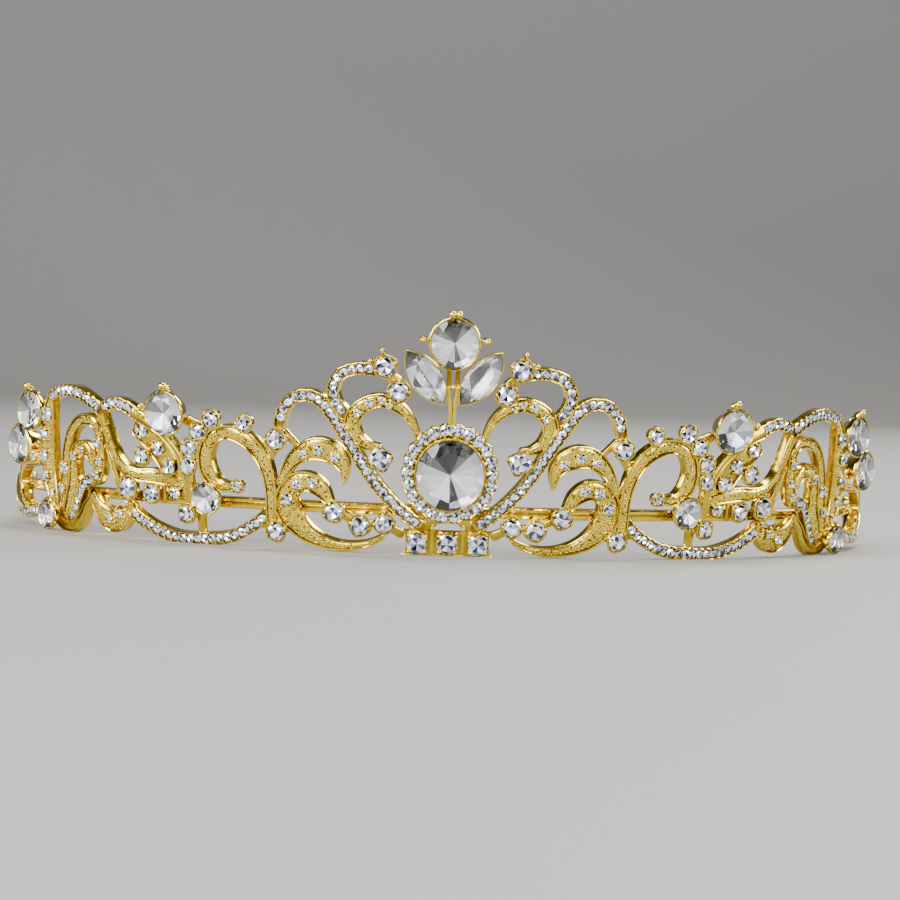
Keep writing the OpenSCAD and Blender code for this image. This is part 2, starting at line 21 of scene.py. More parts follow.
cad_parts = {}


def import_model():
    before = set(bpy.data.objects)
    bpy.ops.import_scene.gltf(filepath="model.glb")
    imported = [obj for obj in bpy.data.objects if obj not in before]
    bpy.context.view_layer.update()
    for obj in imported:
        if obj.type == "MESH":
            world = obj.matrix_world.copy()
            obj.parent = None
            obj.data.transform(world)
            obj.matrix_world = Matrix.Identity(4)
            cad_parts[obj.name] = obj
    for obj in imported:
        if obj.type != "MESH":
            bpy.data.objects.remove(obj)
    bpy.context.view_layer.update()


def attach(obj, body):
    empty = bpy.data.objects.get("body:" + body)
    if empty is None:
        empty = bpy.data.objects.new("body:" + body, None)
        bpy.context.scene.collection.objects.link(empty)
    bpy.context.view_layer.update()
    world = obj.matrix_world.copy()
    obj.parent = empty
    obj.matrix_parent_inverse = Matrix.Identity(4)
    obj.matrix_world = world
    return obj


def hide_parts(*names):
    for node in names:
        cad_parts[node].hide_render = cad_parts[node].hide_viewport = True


LOG = logging.getLogger("tiara")
MM = 0.001
BODY = "root"
GOLDEN_SHARE = 0.618034
MERGE_REACH = 1e-7
EMPTY_REACH = 1e-8

Row = tuple[float, ...]
Face = tuple[int, ...]
Colour = tuple[float, float, float]
Outline = list[tuple[float, float]]
Section = Callable[[float, float], Outline]
Finishes = int | Sequence[int]
Settings = Mapping[str, object]
Inputs = Mapping[object, object]


class Side(Enum):
    """The half of the tiara that a shape belongs to, with the sign of its s."""

    RIGHT = 1
    LEFT = -1

    @property
    def word(self) -> str:
        """The ending of the side's node names."""
        return self.name.lower()


class CupForm(Enum):
    """How a small stone is held, with the name of the cup's shape."""

    CLAWS = "round_cup"
    SQUARE = "square_cup"
    BEZEL = "bezel_cup"


class Metal(IntEnum):
    """The metals, numbered as in Palette.metals. The last is darker gilt: painted shade in recesses and on
    backs.
    """

    POLISHED = 0
    CAST = 1
    GRAINED = 2
    RECESS = 3


class FoilPattern(Enum):
    """Painted reflections of a round foil: how bright each of its sixteen parts is painted, from the right
    and round by the top.
    """

    HOURGLASS = (1.0, 1.0, 0.35, 0.12, 0.08, 0.14, 0.3, 1.0, 1.0, 1.0, 1.0, 0.3, 0.26, 0.95, 1.0, 1.0)
    BUTTERFLY = (1.0, 0.85, 0.3, 0.05, 0.03, 0.05, 0.22, 0.95, 1.0, 1.0, 1.0, 0.1, 0.08, 1.0, 1.0, 1.0)
    HALVES = (0.45, 0.4, 0.25, 0.28, 0.12, 0.16, 0.35, 0.45, 1.0, 1.0, 0.95, 0.9, 0.5, 0.55, 1.0, 1.0)
    MIXED = (1.0, 0.95, 0.3, 0.35, 0.75, 0.7, 0.25, 0.3, 1.0, 1.0, 0.4, 0.3, 0.95, 1.0, 0.55, 0.5)


# Places on the bent face


@dataclass(frozen=True)
class BentFace:
    """The face that the pattern is drawn on: a leaning sheet bent round the head."""

    head_r: float = 74.0
    lean: float = 12.0
    front_y: float = 50.4

    def along(self, s: float) -> Vector:
        """Direction in which s grows."""
        return spoke(s / self.head_r)

    def up(self) -> Vector:
        """Direction in which v grows."""
        lean = math.radians(self.lean)
        return Vector((0.0, -math.sin(lean), math.cos(lean)))

    def out(self, s: float) -> Vector:
        """Direction in which w grows."""
        return self.along(s).cross(self.up()).normalized()

    def at(self, s: float, v: float, w: float) -> Vector:
        """A place on the face, in metres.

        Args:
            s: Distance along the head curve from the middle of the front.
            v: Distance up the face.
            w: Distance out of the face.

        Returns:
            The place.
        """
        turn = s / self.head_r
        foot = Vector((self.head_r * math.sin(turn), self.head_r * (1 - math.cos(turn)) - self.front_y, 0.0))
        return (foot + v * self.up() + w * self.out(s)) * MM

    def stand(self, s: float, v: float, w: float, turn: float = 0.0) -> Matrix:
        """The axes of a shape that stands on the face.

        Args:
            s: Distance along the head curve.
            v: Distance up the face.
            w: Distance out of the face.
            turn: Turn about the outward direction, in degrees.

        Returns:
            A matrix without scale, with its place in metres.
        """
        x, z = self.along(s), self.out(s)
        axes = Matrix((x, z.cross(x), z)).transposed().to_4x4()
        return Matrix.Translation(self.at(s, v, w)) @ axes @ Matrix.Rotation(math.radians(turn), 4, "Z")


FACE = BentFace()


def on_side(side: Side, s: float, v: float, w: float, turn: float = 0.0) -> Matrix:
    """The axes of a shape on one half. The left half mirrors its place and its turn."""
    return FACE.stand(side.value * s, v, w, side.value * turn)


def spoke(turn: float, r: float = 1.0, z: float = 0.0) -> Vector:
    """A corner about the z axis, at a turn in radians."""
    return Vector((r * math.cos(turn), r * math.sin(turn), z))


def turns(count: int, start: float = 0.0) -> list[float]:
    """Even turns all the way round, in radians."""
    return [start + math.tau * k / count for k in range(count)]


def ring_of(r: float, z: float, count: int, start: float = 0.0) -> list[Vector]:
    """A ring of corners about the z axis."""
    return [spoke(turn, r, z) for turn in turns(count, start)]


def upright_oval(stretch: float) -> Matrix:
    """Makes round shapes taller than wide."""
    return Matrix.Diagonal((1.0, stretch, 1.0, 1.0))


def blend(a: float, b: float, c: float, d: float, t: float) -> float:
    """A value between b and c on a smooth curve through a, b, c and d."""
    return 0.5 * (2 * b + (c - a) * t + (2 * a - 5 * b + 4 * c - d) * t**2 + (3 * b - a - 3 * c + d) * t**3)


def smooth_rows(rows: Sequence[Row], pitch: float) -> list[Row]:
    """Rows on a smooth curve through the given ones.

    Args:
        rows: Rows that start with s and v.
        pitch: Distance between the new rows, roughly.

    Returns:
        The new rows, with every column blended.
    """
    last = len(rows) - 1
    made: list[Row] = []
    for i in range(last):
        steps = max(1, round(math.dist(rows[i][:2], rows[i + 1][:2]) / pitch))
        four = (rows[max(i - 1, 0)], rows[i], rows[i + 1], rows[min(i + 2, last)])
        made += [tuple(blend(*column, j / steps) for column in zip(*four)) for j in range(steps)]
    return made + [tuple(rows[last])]


class FacePath:
    """A smooth path on the face, with a width at every step."""

    def __init__(self, rows: Sequence[Row], width: float | None = None, pitch: float = 0.5) -> None:
        """Works out the steps of the path.

        Args:
            rows: Rows [s, v] or [s, v, width].
            width: The width all along, where the rows give none.
            pitch: Distance between steps.
        """
        self.rows = smooth_rows([(*row[:2], row[2] if width is None else width) for row in rows], pitch)
        self.runs = [0.0]
        for a, b in zip(self.rows, self.rows[1:]):
            self.runs.append(self.runs[-1] + math.dist(a[:2], b[:2]))

    def place(self, i: int, side: Side, n: float, w: float, ahead: float = 0.0) -> Vector:
        """A place beside a step of the path.

        Args:
            i: Number of the step.
            side: Half of the tiara.
            n: Distance to the left of the direction of travel.
            w: Distance out of the face.
            ahead: Distance along the direction of travel.

        Returns:
            The place in metres.
        """
        (s0, v0, _), (s1, v1, _) = self.rows[max(i - 1, 0)], self.rows[min(i + 1, len(self.rows) - 1)]
        size = math.hypot(s1 - s0, v1 - v0)
        ds, dv = (s1 - s0) / size, (v1 - v0) / size
        s, v, _ = self.rows[i]
        return FACE.at(side.value * (s - dv * n + ds * ahead), v + ds * n + dv * ahead, w)

    def evenly(self, pitch: float) -> list[Row]:
        """Evenly spaced places in the middle of the path.

        Args:
            pitch: Distance from one place to the next.

        Returns:
            Rows of s, v and the direction of travel in degrees.
        """
        length = self.runs[-1]
        count = int((length - pitch * 0.1) // pitch)
        made: list[Row] = []
        i = 0
        for k in range(count):
            run = (length - (count - 1) * pitch) / 2 + k * pitch
            while i < len(self.runs) - 2 and self.runs[i + 1] < run:
                i += 1
            t = (run - self.runs[i]) / (self.runs[i + 1] - self.runs[i])
            (s0, v0, _), (s1, v1, _) = self.rows[i : i + 2]
            made.append((s0 + (s1 - s0) * t, v0 + (v1 - v0) * t, math.degrees(math.atan2(v1 - v0, s1 - s0))))
        return made


# Shader trees written as expressions


def operator(operation: str, swapped: bool = False) -> Callable[[Wire, Wire | float], Wire]:
    """Makes a method that adds one Math node.

    Args:
        operation: What the node does.
        swapped: Whether its two operands are swapped, for a reflected form.

    Returns:
        The method.
    """

    def method(self: Wire, other: Wire | float) -> Wire:
        """The node's result."""
        pair = (other, self) if swapped else (self, other)
        return self.shop.add("ShaderNodeMath", {"operation": operation}, dict(enumerate(pair)))

    return method


@dataclass
class Wire:
    """A socket of a shader tree that takes part in sums and products."""

    shop: ShaderShop
    socket: NodeSocket

    __add__ = __radd__ = operator("ADD")
    __mul__ = __rmul__ = operator("MULTIPLY")
    __sub__, __rsub__ = operator("SUBTRACT"), operator("SUBTRACT", True)
    __truediv__, __rtruediv__ = operator("DIVIDE"), operator("DIVIDE", True)

    def fraction(self) -> Wire:
        """What is left over the whole number below."""
        return self.shop.add("ShaderNodeMath", {"operation": "FRACT"}, {0: self})

    def clipped(self) -> Wire:
        """The value kept between 0 and 1."""
        return self.shop.add("ShaderNodeClamp", {}, {0: self})


class ShaderShop:
    """Builds the node tree of one material."""

    def __init__(self, name: str) -> None:
        """Starts a material with an empty tree.

        Args:
            name: Name of the material.
        """
        self.material = bpy.data.materials.new(name)
        self.material.use_nodes = True
        self.tree = self.material.node_tree
        self.tree.nodes.clear()

    def add(self, kind: str, settings: Settings, inputs: Inputs, out: str | int = 0) -> Wire:
        """Adds a node.

        Args:
            kind: Node type.
            settings: Properties that are set first. The key "stops" holds a ramp's stops.
            inputs: Values or wires for sockets, by name or number.
            out: Name or number of the output that is wanted.

        Returns:
            The wire of that output.
        """
        node = self.tree.nodes.new(kind)
        for key, value in settings.items():
            if key != "stops":
                setattr(node, key, value)
                continue
            ramp = node.color_ramp
            while len(ramp.elements) < len(value):
                ramp.elements.new(0.5)
            for element, (place, colour) in zip(ramp.elements, value):
                element.position, element.color = place, (*colour, 1.0)
        for key, value in inputs.items():
            socket = node.inputs[key]
            if isinstance(value, Wire):
                self.tree.links.new(value.socket, socket)
            else:
                socket.default_value = (*value, 1.0) if socket.type == "RGBA" else value
        return Wire(self, node.outputs[out])

    def scattered(self, kind: str, scale: float, more: Mapping[str, float], out: str) -> Wire:
        """A texture laid out in object coordinates."""
        place = self.add("ShaderNodeTexCoord", {}, {}, "Object")
        return self.add(kind, {}, {"Vector": place, "Scale": scale, **more}, out)

    def noise(self, scale: float, detail: float = 3.0) -> Wire:
        """Cloudy noise between 0 and 1."""
        return self.scattered("ShaderNodeTexNoise", scale, {"Detail": detail, "Roughness": 0.55}, "Fac")

    def cells(self, scale: float) -> Wire:
        """Distance to the nearest of many scattered points."""
        return self.scattered("ShaderNodeTexVoronoi", scale, {}, "Distance")

    def own(self, name: str) -> Wire:
        """A number that the mesh carries."""
        return self.add("ShaderNodeAttribute", {"attribute_name": name}, {}, "Fac")

    def mix(self, factor: Wire | float, low: Wire | Colour, high: Wire | Colour) -> Wire:
        """A colour between two colours."""
        return self.add("ShaderNodeMix", {"data_type": "RGBA"}, {0: factor, 6: low, 7: high}, 2)

    def bump(self, height: Wire, strength: float, distance: float, **more: Wire) -> Wire:
        """A bumped normal."""
        inputs = {"Height": height, "Strength": strength, "Distance": distance, **more}
        return self.add("ShaderNodeBump", {}, inputs, "Normal")

    def finish(self, values: Mapping[str, object]) -> Material:
        """Ends the tree in a Principled surface.

        Args:
            values: Values or wires for the surface's sockets.

        Returns:
            The finished material.
        """
        surface = self.add("ShaderNodeBsdfPrincipled", {}, values, "BSDF")
        end = self.tree.nodes.new("ShaderNodeOutputMaterial")
        self.tree.links.new(surface.socket, end.inputs["Surface"])
        return self.material


# Finishes


@dataclass(frozen=True)
class GiltFinish:
    """Gilt metal: polished, cast, grained, or darker as painted shade in recesses.

    Attributes:
        name: Name of the material.
        bright: Colour where it is worn bright.
        deep: Colour where the gilding lies thick.
        roughness: Lowest and highest roughness.
        ripple: Strength of the soft ripple of cast metal.
        grain: Strength of the grain of small pits.
        grain_size: Size of a pit in millimetres.
        broad: Scale of the broad clouds.
        fine: Scale of the fine clouds.
        contrast: How sharply bright and deep parts meet.
        pit_reach: Share of a cell that its pit fills.
        pit_shade: Brightness of a pit's painted shade beside the deep colour.
        depths: Depth of the ripple and of the pits, in metres.
    """

    name: str
    bright: Colour = (0.97, 0.79, 0.1)
    deep: Colour = (0.6, 0.39, 0.012)
    roughness: tuple[float, float] = (0.07, 0.19)
    ripple: float = 0.25
    grain: float = 0.0
    grain_size: float = 0.66
    broad: float = 220.0
    fine: float = 1500.0
    contrast: float = 2.2
    pit_reach: float = 0.38
    pit_shade: float = 0.3
    depths: tuple[float, float] = (0.00012, 0.0002)

    def material(self) -> Material:
        """Builds the material.

        Returns:
            The finished material.
        """
        shop = ShaderShop(self.name)
        fine = shop.noise(self.fine)
        clouds = shop.noise(self.broad, 2.0) * 0.6 + fine * 0.4
        low, high = self.roughness
        patchy = ((clouds - 0.5) * self.contrast + 0.55).clipped()
        colour = shop.mix(patchy, self.deep, self.bright)
        normal = shop.bump(clouds, self.ripple, self.depths[0])
        if self.grain > 0:
            pits = ((self.pit_reach - shop.cells(1.0 / (self.grain_size * MM))) * 6.0).clipped()
            # Pits are painted darker, as painted shade, and also bumped in.
            colour = shop.mix(pits * 0.9, colour, tuple(c * self.pit_shade for c in self.deep))
            normal = shop.bump(1.0 - pits, self.grain, self.depths[1], Normal=normal)
        rough = fine * (high - low) + low
        return shop.finish({"Base Color": colour, "Metallic": 1.0, "Roughness": rough, "Normal": normal})


@dataclass(frozen=True)
class FoiledStoneFinish:
    """A small crystal with a foil back, whose facets are painted white, grey-blue or dark as painted
    reflections.
    """

    name: str = "foiled_crystal"
    # Colours of the painted reflections, from dark to white.
    stops: tuple[tuple[float, Colour], ...] = (
        (0.0, (0.03, 0.04, 0.075)),
        (0.2, (0.09, 0.12, 0.2)),
        (0.36, (0.3, 0.36, 0.5)),
        (0.48, (0.66, 0.72, 0.84)),
        (0.58, (0.97, 0.98, 1.0)),
    )

    def material(self) -> Material:
        """Builds the material, which reads each stone's own "spark" and each facet's own "facet".

        Returns:
            The finished material.
        """
        shop = ShaderShop(self.name)
        # Each facet's painted reflection is chosen by the stone's random spark and the facet's number.
        share = (shop.own("spark") * 3.7 + shop.own("facet")).fraction()
        colour = shop.add("ShaderNodeValToRGB", {"stops": self.stops}, {"Fac": share}, "Color")
        rough = shop.noise(900.0, 2.0) * 0.08 + 0.02
        coat = {"Coat Weight": 1.0, "Coat Roughness": 0.02}
        return shop.finish({"Base Color": colour, "Metallic": 1.0 - share * 0.5, "Roughness": rough, **coat})


@dataclass(frozen=True)
class ClearStoneFinish:
    """The clear body of a large crystal."""

    name: str = "clear_crystal"
    tint: Colour = (0.985, 0.99, 1.0)
    index: float = 1.56

    def material(self) -> Material:
        """Builds the material.

        Returns:
            The finished material.
        """
        shop = ShaderShop(self.name)
        rough = shop.noise(600.0, 2.0) * 0.012
        clear = {"IOR": self.index, "Transmission Weight": 1.0}
        return shop.finish({"Base Color": self.tint, "Roughness": rough, **clear})


@dataclass(frozen=True)
class FoilFinish:
    """The silver foil behind a large crystal, with facets painted from white to near black as painted
    reflections.
    """

    name: str = "silver_foil"
    # White and near black of the painted reflections.
    bright: Colour = (0.97, 0.97, 0.98)
    dark: Colour = (0.012, 0.012, 0.015)

    def material(self) -> Material:
        """Builds the material, which reads each facet's own "shade".

        Returns:
            The finished material.
        """
        shop = ShaderShop(self.name)
        mottle = shop.noise(700.0)
        share = (shop.own("shade") + mottle * 0.12 - 0.06).clipped()
        # Painted reflections: a facet's shade picks its colour, and the white facets are made less metallic.
        colour = shop.mix(share, self.dark, self.bright)
        rough = mottle * 0.08 + 0.12
        return shop.finish({"Base Color": colour, "Metallic": 1.0 - share * 0.7, "Roughness": rough})


@dataclass(frozen=True)
class FloorFinish:
    """The plain pale floor."""

    name: str = "pale_floor"
    colour: Colour = (0.27, 0.264, 0.258)

    def material(self) -> Material:
        """Builds the material.

        Returns:
            The finished material.
        """
        shop = ShaderShop(self.name)
        colour = shop.mix(shop.noise(14.0, 2.0) * 0.25, self.colour, tuple(c * 0.93 for c in self.colour))
        return shop.finish({"Base Color": colour, "Roughness": 0.7})


class Palette:
    """Every material, made once."""

    def __init__(self) -> None:
        """Builds the materials."""
        metals = (
            GiltFinish("polished_gilt"),
            GiltFinish("cast_gilt", (0.88, 0.67, 0.065), (0.42, 0.26, 0.008), (0.12, 0.27), 0.6),
            GiltFinish("grained_gilt", (1.0, 0.84, 0.14), (0.6, 0.39, 0.016), (0.1, 0.24), grain=1.0),
            # Darker gilt for channel floors, grooves and backs: painted shade in recesses.
            GiltFinish("recess_gilt", (0.44, 0.26, 0.012), (0.16, 0.08, 0.003), (0.24, 0.42), 0.5),
        )
        self.metals = [finish.material() for finish in metals]
        self.polished, self.cast = self.metals[Metal.POLISHED], self.metals[Metal.CAST]
        self.stone = FoiledStoneFinish().material()
        self.clear_and_foil = [ClearStoneFinish().material(), FoilFinish().material()]
        self.floor = FloorFinish().material()


# Meshes


def skin(rings: int, count: int, looped: bool = False) -> list[Face]:
    """Faces of a closed skin over rings of corners.

    Args:
        rings: Number of rings.
        count: Number of corners in a ring.
        looped: Whether the last ring joins the first one, so that no end has to be closed.

    Returns:
        The faces between the rings in order, and then the two ends.
    """
    faces: list[Face] = []
    for i in range(rings if looped else rings - 1):
        a, b = i * count, (i + 1) % rings * count
        faces += [(a + k, a + (k + 1) % count, b + (k + 1) % count, b + k) for k in range(count)]
    if not looped:
        faces += [tuple(reversed(range(count))), tuple(range((rings - 1) * count, rings * count))]
    return faces


def mirrored(right: Outline, left: Outline | None = None) -> Outline:
    """Closes an outline.

    Args:
        right: The right half, from the back to the front.
        left: The left half, drawn as a right half too, where it isn't the same.

    Returns:
        The outline, from the last point of the left half.
    """
    other = [(-n, w) for n, w in reversed(left or right)]
    return other[-1:] + right + other[:-1]


def placed(axes: Matrix, corners: Sequence[Vector]) -> list[Vector]:
    """Corners in millimetres, moved to their place."""
    return [axes @ (corner * MM) for corner in corners]


def store_faces(mesh: Mesh, name: str, values: Sequence[float]) -> None:
    """Keeps a number for every face of a mesh."""
    mesh.attributes.new(name, "FLOAT", "FACE").data.foreach_set("value", values)


def rest_on_floor(mesh: Mesh) -> None:
    """Levels the underside: no corner lies below the floor."""
    for corner in mesh.vertices:
        corner.co.z = max(corner.co.z, 0.0)


def tidy_mesh(mesh: Mesh, sharp: float | None) -> None:
    """Cleans a mesh and points its faces outwards.

    Args:
        mesh: Mesh whose doubles are merged and whose empty faces and loose edges are dropped.
        sharp: Angle past which an edge is sharp, in degrees, or None for flat facets.
    """
    work = bmesh.new()
    work.from_mesh(mesh)
    bmesh.ops.remove_doubles(work, verts=work.verts, dist=MERGE_REACH)
    bmesh.ops.dissolve_degenerate(work, edges=work.edges, dist=EMPTY_REACH)
    bmesh.ops.delete(work, geom=[edge for edge in work.edges if not edge.link_faces], context="EDGES")
    bmesh.ops.recalc_face_normals(work, faces=work.faces)
    work.to_mesh(mesh)
    work.free()
    if sharp is not None:
        mesh.polygons.foreach_set("use_smooth", [True] * len(mesh.polygons))
        mesh.set_sharp_from_angle(angle=math.radians(sharp))


def linked(name: str, data: ID) -> Object:
    """An object in the scene, at the origin.

    Args:
        name: Name of the object.
        data: Its mesh, lamp or camera.

    Returns:
        The object.
    """
    piece = bpy.data.objects.new(name, data)
    bpy.context.scene.collection.objects.link(piece)
    return piece


class MeshParts:
    """Corners and faces of one piece, with the number of a finish for each face."""

    def __init__(self) -> None:
        """Starts empty."""
        self.corners: list[Vector] = []
        self.faces: list[Face] = []
        self.finishes: list[int] = []
        self.shades: dict[int, float] = {}

    def add(
        self,
        corners: list[Vector],
        faces: list[Face],
        finishes: Finishes = 0,
        shades: Mapping[int, float] | None = None,
    ) -> None:
        """Adds one shape.

        Args:
            corners: Corners of the shape.
            faces: Faces, which number the shape's own corners.
            finishes: One finish, or one for each face.
            shades: How bright a face is painted, as a painted reflection, by its number in faces.
        """
        start, first = len(self.corners), len(self.faces)
        self.corners += corners
        self.faces += [tuple(start + k for k in face) for face in faces]
        self.finishes += [finishes] * len(faces) if isinstance(finishes, int) else finishes
        for number, shade in (shades or {}).items():
            self.shades[first + number] = shade

    def loft(self, rings: Sequence[Sequence[Vector]], finishes: Finishes = 0, looped: bool = False) -> None:
        """Joins rings of corners into a closed skin.

        Args:
            rings: Rings with the same number of corners.
            finishes: One finish, or one for each stretch of a ring.
            looped: Whether the last ring joins the first one.
        """
        count = len(rings[0])
        faces = skin(len(rings), count, looped)
        stretches = [finishes] * count if isinstance(finishes, int) else finishes
        walls = len(faces) if looped else len(faces) - 2
        numbers = [stretches[k % count] for k in range(walls)] + [stretches[0]] * (len(faces) - walls)
        self.add([corner for ring in rings for corner in ring], faces, numbers)

    def turned(self, profile: Sequence[Row], axes: Matrix, steps: int, finish: int) -> None:
        """Adds a turned shape.

        Args:
            profile: Radius and height pairs in millimetres, which start and end on the axis.
            axes: Place and direction of the axis.
            steps: Number of steps round.
            finish: Number of the finish.
        """
        rings = [placed(axes, [spoke(turn, r, z) for r, z in profile]) for turn in turns(steps)]
        self.loft(rings, finish, looped=True)

    def to_object(self, name: str, materials: Sequence[Material], sharp: float | None = 38.0) -> Object:
        """Makes the piece.

        Args:
            name: Name of the object.
            materials: Its finishes.
            sharp: Angle past which an edge is sharp, in degrees, or None for flat facets.

        Returns:
            The object, at the origin.
        """
        mesh = bpy.data.meshes.new(name)
        mesh.from_pydata(self.corners, [], self.faces)
        rest_on_floor(mesh)
        for material in materials:
            mesh.materials.append(material)
        mesh.polygons.foreach_set("material_index", self.finishes)
        if self.shades:
            store_faces(mesh, "shade", [self.shades.get(k, 1.0) for k in range(len(self.faces))])
        tidy_mesh(mesh, sharp)
        return linked(name, mesh)


def settle(piece: Object, replaced: str = "tiara_frame") -> None:
    """Declares a finished piece.

    Args:
        piece: The piece, at the origin.
        replaced: CAD node that it stands for.
    """
    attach(piece, BODY)
    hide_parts(replaced)
    LOG.info("%s: %d triangles", piece.name, sum(len(face.vertices) - 2 for face in piece.data.polygons))


def join_pieces(name: str, pieces: Sequence[Object]) -> Object:
    """Joins pieces into one, keeping their finishes.

    Args:
        name: Name of the joined piece.
        pieces: The pieces, which are used up.

    Returns:
        The joined piece.
    """
    work = bmesh.new()
    materials: list[Material] = []
    for piece in pieces:
        materials += [material for material in piece.data.materials if material not in materials]
        before = len(work.faces)
        work.from_mesh(piece.data)
        for face in list(work.faces)[before:]:
            face.material_index = materials.index(piece.data.materials[face.material_index])
        bpy.data.objects.remove(piece)
    mesh = bpy.data.meshes.new(name)
    work.to_mesh(mesh)
    work.free()
    for material in materials:
        mesh.materials.append(material)
    return linked(name, mesh)


# Geometry Nodes


class NodeTree:
    """A Geometry Nodes tree with named inputs."""

    def __init__(self, name: str, inputs: Mapping[str, tuple[str, object]]) -> None:
        """Starts a tree with its inputs and its output.

        Args:
            name: Name of the tree.
            inputs: Socket type and default value of each named input, besides the shape and its finish.
        """
        self.tree = bpy.data.node_groups.new(name, "GeometryNodeTree")
        sockets = self.tree.interface
        sockets.new_socket(name="Geometry", in_out="INPUT", socket_type="NodeSocketGeometry")
        self.keys: dict[str, str] = {}
        given = {"Shape": ("NodeSocketObject", None), "Finish": ("NodeSocketMaterial", None), **inputs}
        for key, (kind, value) in given.items():
            socket = sockets.new_socket(name=key, in_out="INPUT", socket_type=kind)
            if value is not None:
                socket.default_value = value
            self.keys[key] = socket.identifier
        sockets.new_socket(name="Geometry", in_out="OUTPUT", socket_type="NodeSocketGeometry")
        self.entry = self.tree.nodes.new("NodeGroupInput")
        self.exit = self.tree.nodes.new("NodeGroupOutput")
        source = {"Object": "in:Shape", "As Instance": True}
        self.shape = self.add("ObjectInfo", {"transform_space": "ORIGINAL"}, source).outputs["Geometry"]

    def add(self, kind: str, settings: Settings, inputs: Inputs) -> Node:
        """Adds a node.

        Args:
            kind: Node type, with or without the start "GeometryNode".
            settings: Properties that are set first.
            inputs: Values, output sockets or names of the tree's own inputs prefixed by "in:".

        Returns:
            The node.
        """
        full = kind if kind.startswith(("FunctionNode", "ShaderNode")) else f"GeometryNode{kind}"
        node = self.tree.nodes.new(full)
        for key, value in settings.items():
            setattr(node, key, value)
        for key, value in inputs.items():
            if isinstance(value, str) and value.startswith("in:"):
                self.tree.links.new(self.entry.outputs[value[3:]], node.inputs[key])
            elif isinstance(value, NodeSocket):
                self.tree.links.new(value, node.inputs[key])
            else:
                node.inputs[key].default_value = value
        return node

    def copies(self, points: object, rotation: object, scale: object) -> NodeSocket:
        """Sets a copy of the shape on every point."""
        inputs = {"Points": points, "Instance": self.shape, "Rotation": rotation, "Scale": scale}
        return self.add("InstanceOnPoints", {}, inputs).outputs[0]

    def close(self, geometry: NodeSocket) -> None:
        """Realizes the instances, sets their material and ends the tree.

        Args:
            geometry: The instances.
        """
        real = self.add("RealizeInstances", {}, {"Geometry": geometry})
        dressed = self.add("SetMaterial", {}, {"Geometry": real.outputs[0], "Material": "in:Finish"})
        self.tree.links.new(dressed.outputs[0], self.exit.inputs[0])

    def run(self, host: Object, name: str, values: Mapping[str, object]) -> Object:
        """Runs the tree on a host and keeps the result as a plain mesh.

        Args:
            host: Object that carries the points or the surface. It is removed.
            name: Name of the new piece.
            values: Values of the tree's inputs.

        Returns:
            The new piece, at the origin.
        """
        modifier = host.modifiers.new("repeat", "NODES")
        modifier.node_group = self.tree
        for key, value in values.items():
            modifier[self.keys[key]] = value
        seen = bpy.context.evaluated_depsgraph_get()
        made = host.evaluated_get(seen)
        mesh = bpy.data.meshes.new_from_object(made, preserve_all_data_layers=True, depsgraph=seen)
        mesh.name = name
        rest_on_floor(mesh)
        host.modifiers.clear()
        bpy.data.objects.remove(host)
        return linked(name, mesh)


def seating_tree() -> NodeTree:
    """Builds the tree that sets a copy of a shape on every point.

    Each point carries its turn "facing" and its size "measure". A copy also gets a random turn and a
    random "spark" that its finish may read.

    Returns:
        The tree.
    """
    inputs = {"Wobble": ("NodeSocketVector", (0.0, 0.0, 0.0)), "Seed": ("NodeSocketInt", 7)}
    tree = NodeTree("seat_on_points", inputs)
    facing, measure = (
        tree.add("InputNamedAttribute", {"data_type": "FLOAT_VECTOR"}, {"Name": name}).outputs["Attribute"]
        for name in ("facing", "measure")
    )
    copies = tree.copies("in:Geometry", facing, measure)
    low = tree.add("ShaderNodeVectorMath", {"operation": "SCALE"}, {0: "in:Wobble", "Scale": -1.0})
    span = {0: low.outputs[0], 1: "in:Wobble", "Seed": "in:Seed"}
    chance = tree.add("FunctionNodeRandomValue", {"data_type": "FLOAT_VECTOR"}, span)
    turn = {"Instances": copies, "Rotation": chance.outputs[0], "Local Space": True}
    turned = tree.add("RotateInstances", {}, turn)
    luck = tree.add("FunctionNodeRandomValue", {"data_type": "FLOAT"}, {"Seed": "in:Seed"})
    mark = {"Geometry": turned.outputs[0], "Name": "spark", "Value": luck.outputs[1]}
    marked = tree.add("StoreNamedAttribute", {"data_type": "FLOAT", "domain": "INSTANCE"}, mark)
    tree.close(marked.outputs[0])
    return tree


def scattering_tree() -> NodeTree:
    """Builds the tree that scatters small shapes over a surface, no two closer than a distance.

    Returns:
        The tree.
    """
    sizes = {"Spacing": 0.0003, "Density": 1e7, "Smallest": 0.0001, "Largest": 0.0002}
    numbers = {key: ("NodeSocketFloat", value) for key, value in sizes.items()}
    tree = NodeTree("scatter_on_surface", {**numbers, "Seed": ("NodeSocketInt", 3)})
    limits = {"Distance Min": "in:Spacing", "Density Max": "in:Density", "Seed": "in:Seed"}
    spread = {"Mesh": "in:Geometry", **limits}
    points = tree.add("DistributePointsOnFaces", {"distribute_method": "POISSON"}, spread)
    span = {2: "in:Smallest", 3: "in:Largest", "Seed": "in:Seed"}
    size = tree.add("FunctionNodeRandomValue", {"data_type": "FLOAT"}, span)
    tree.close(tree.copies(points.outputs["Points"], points.outputs["Rotation"], size.outputs[1]))
    return tree


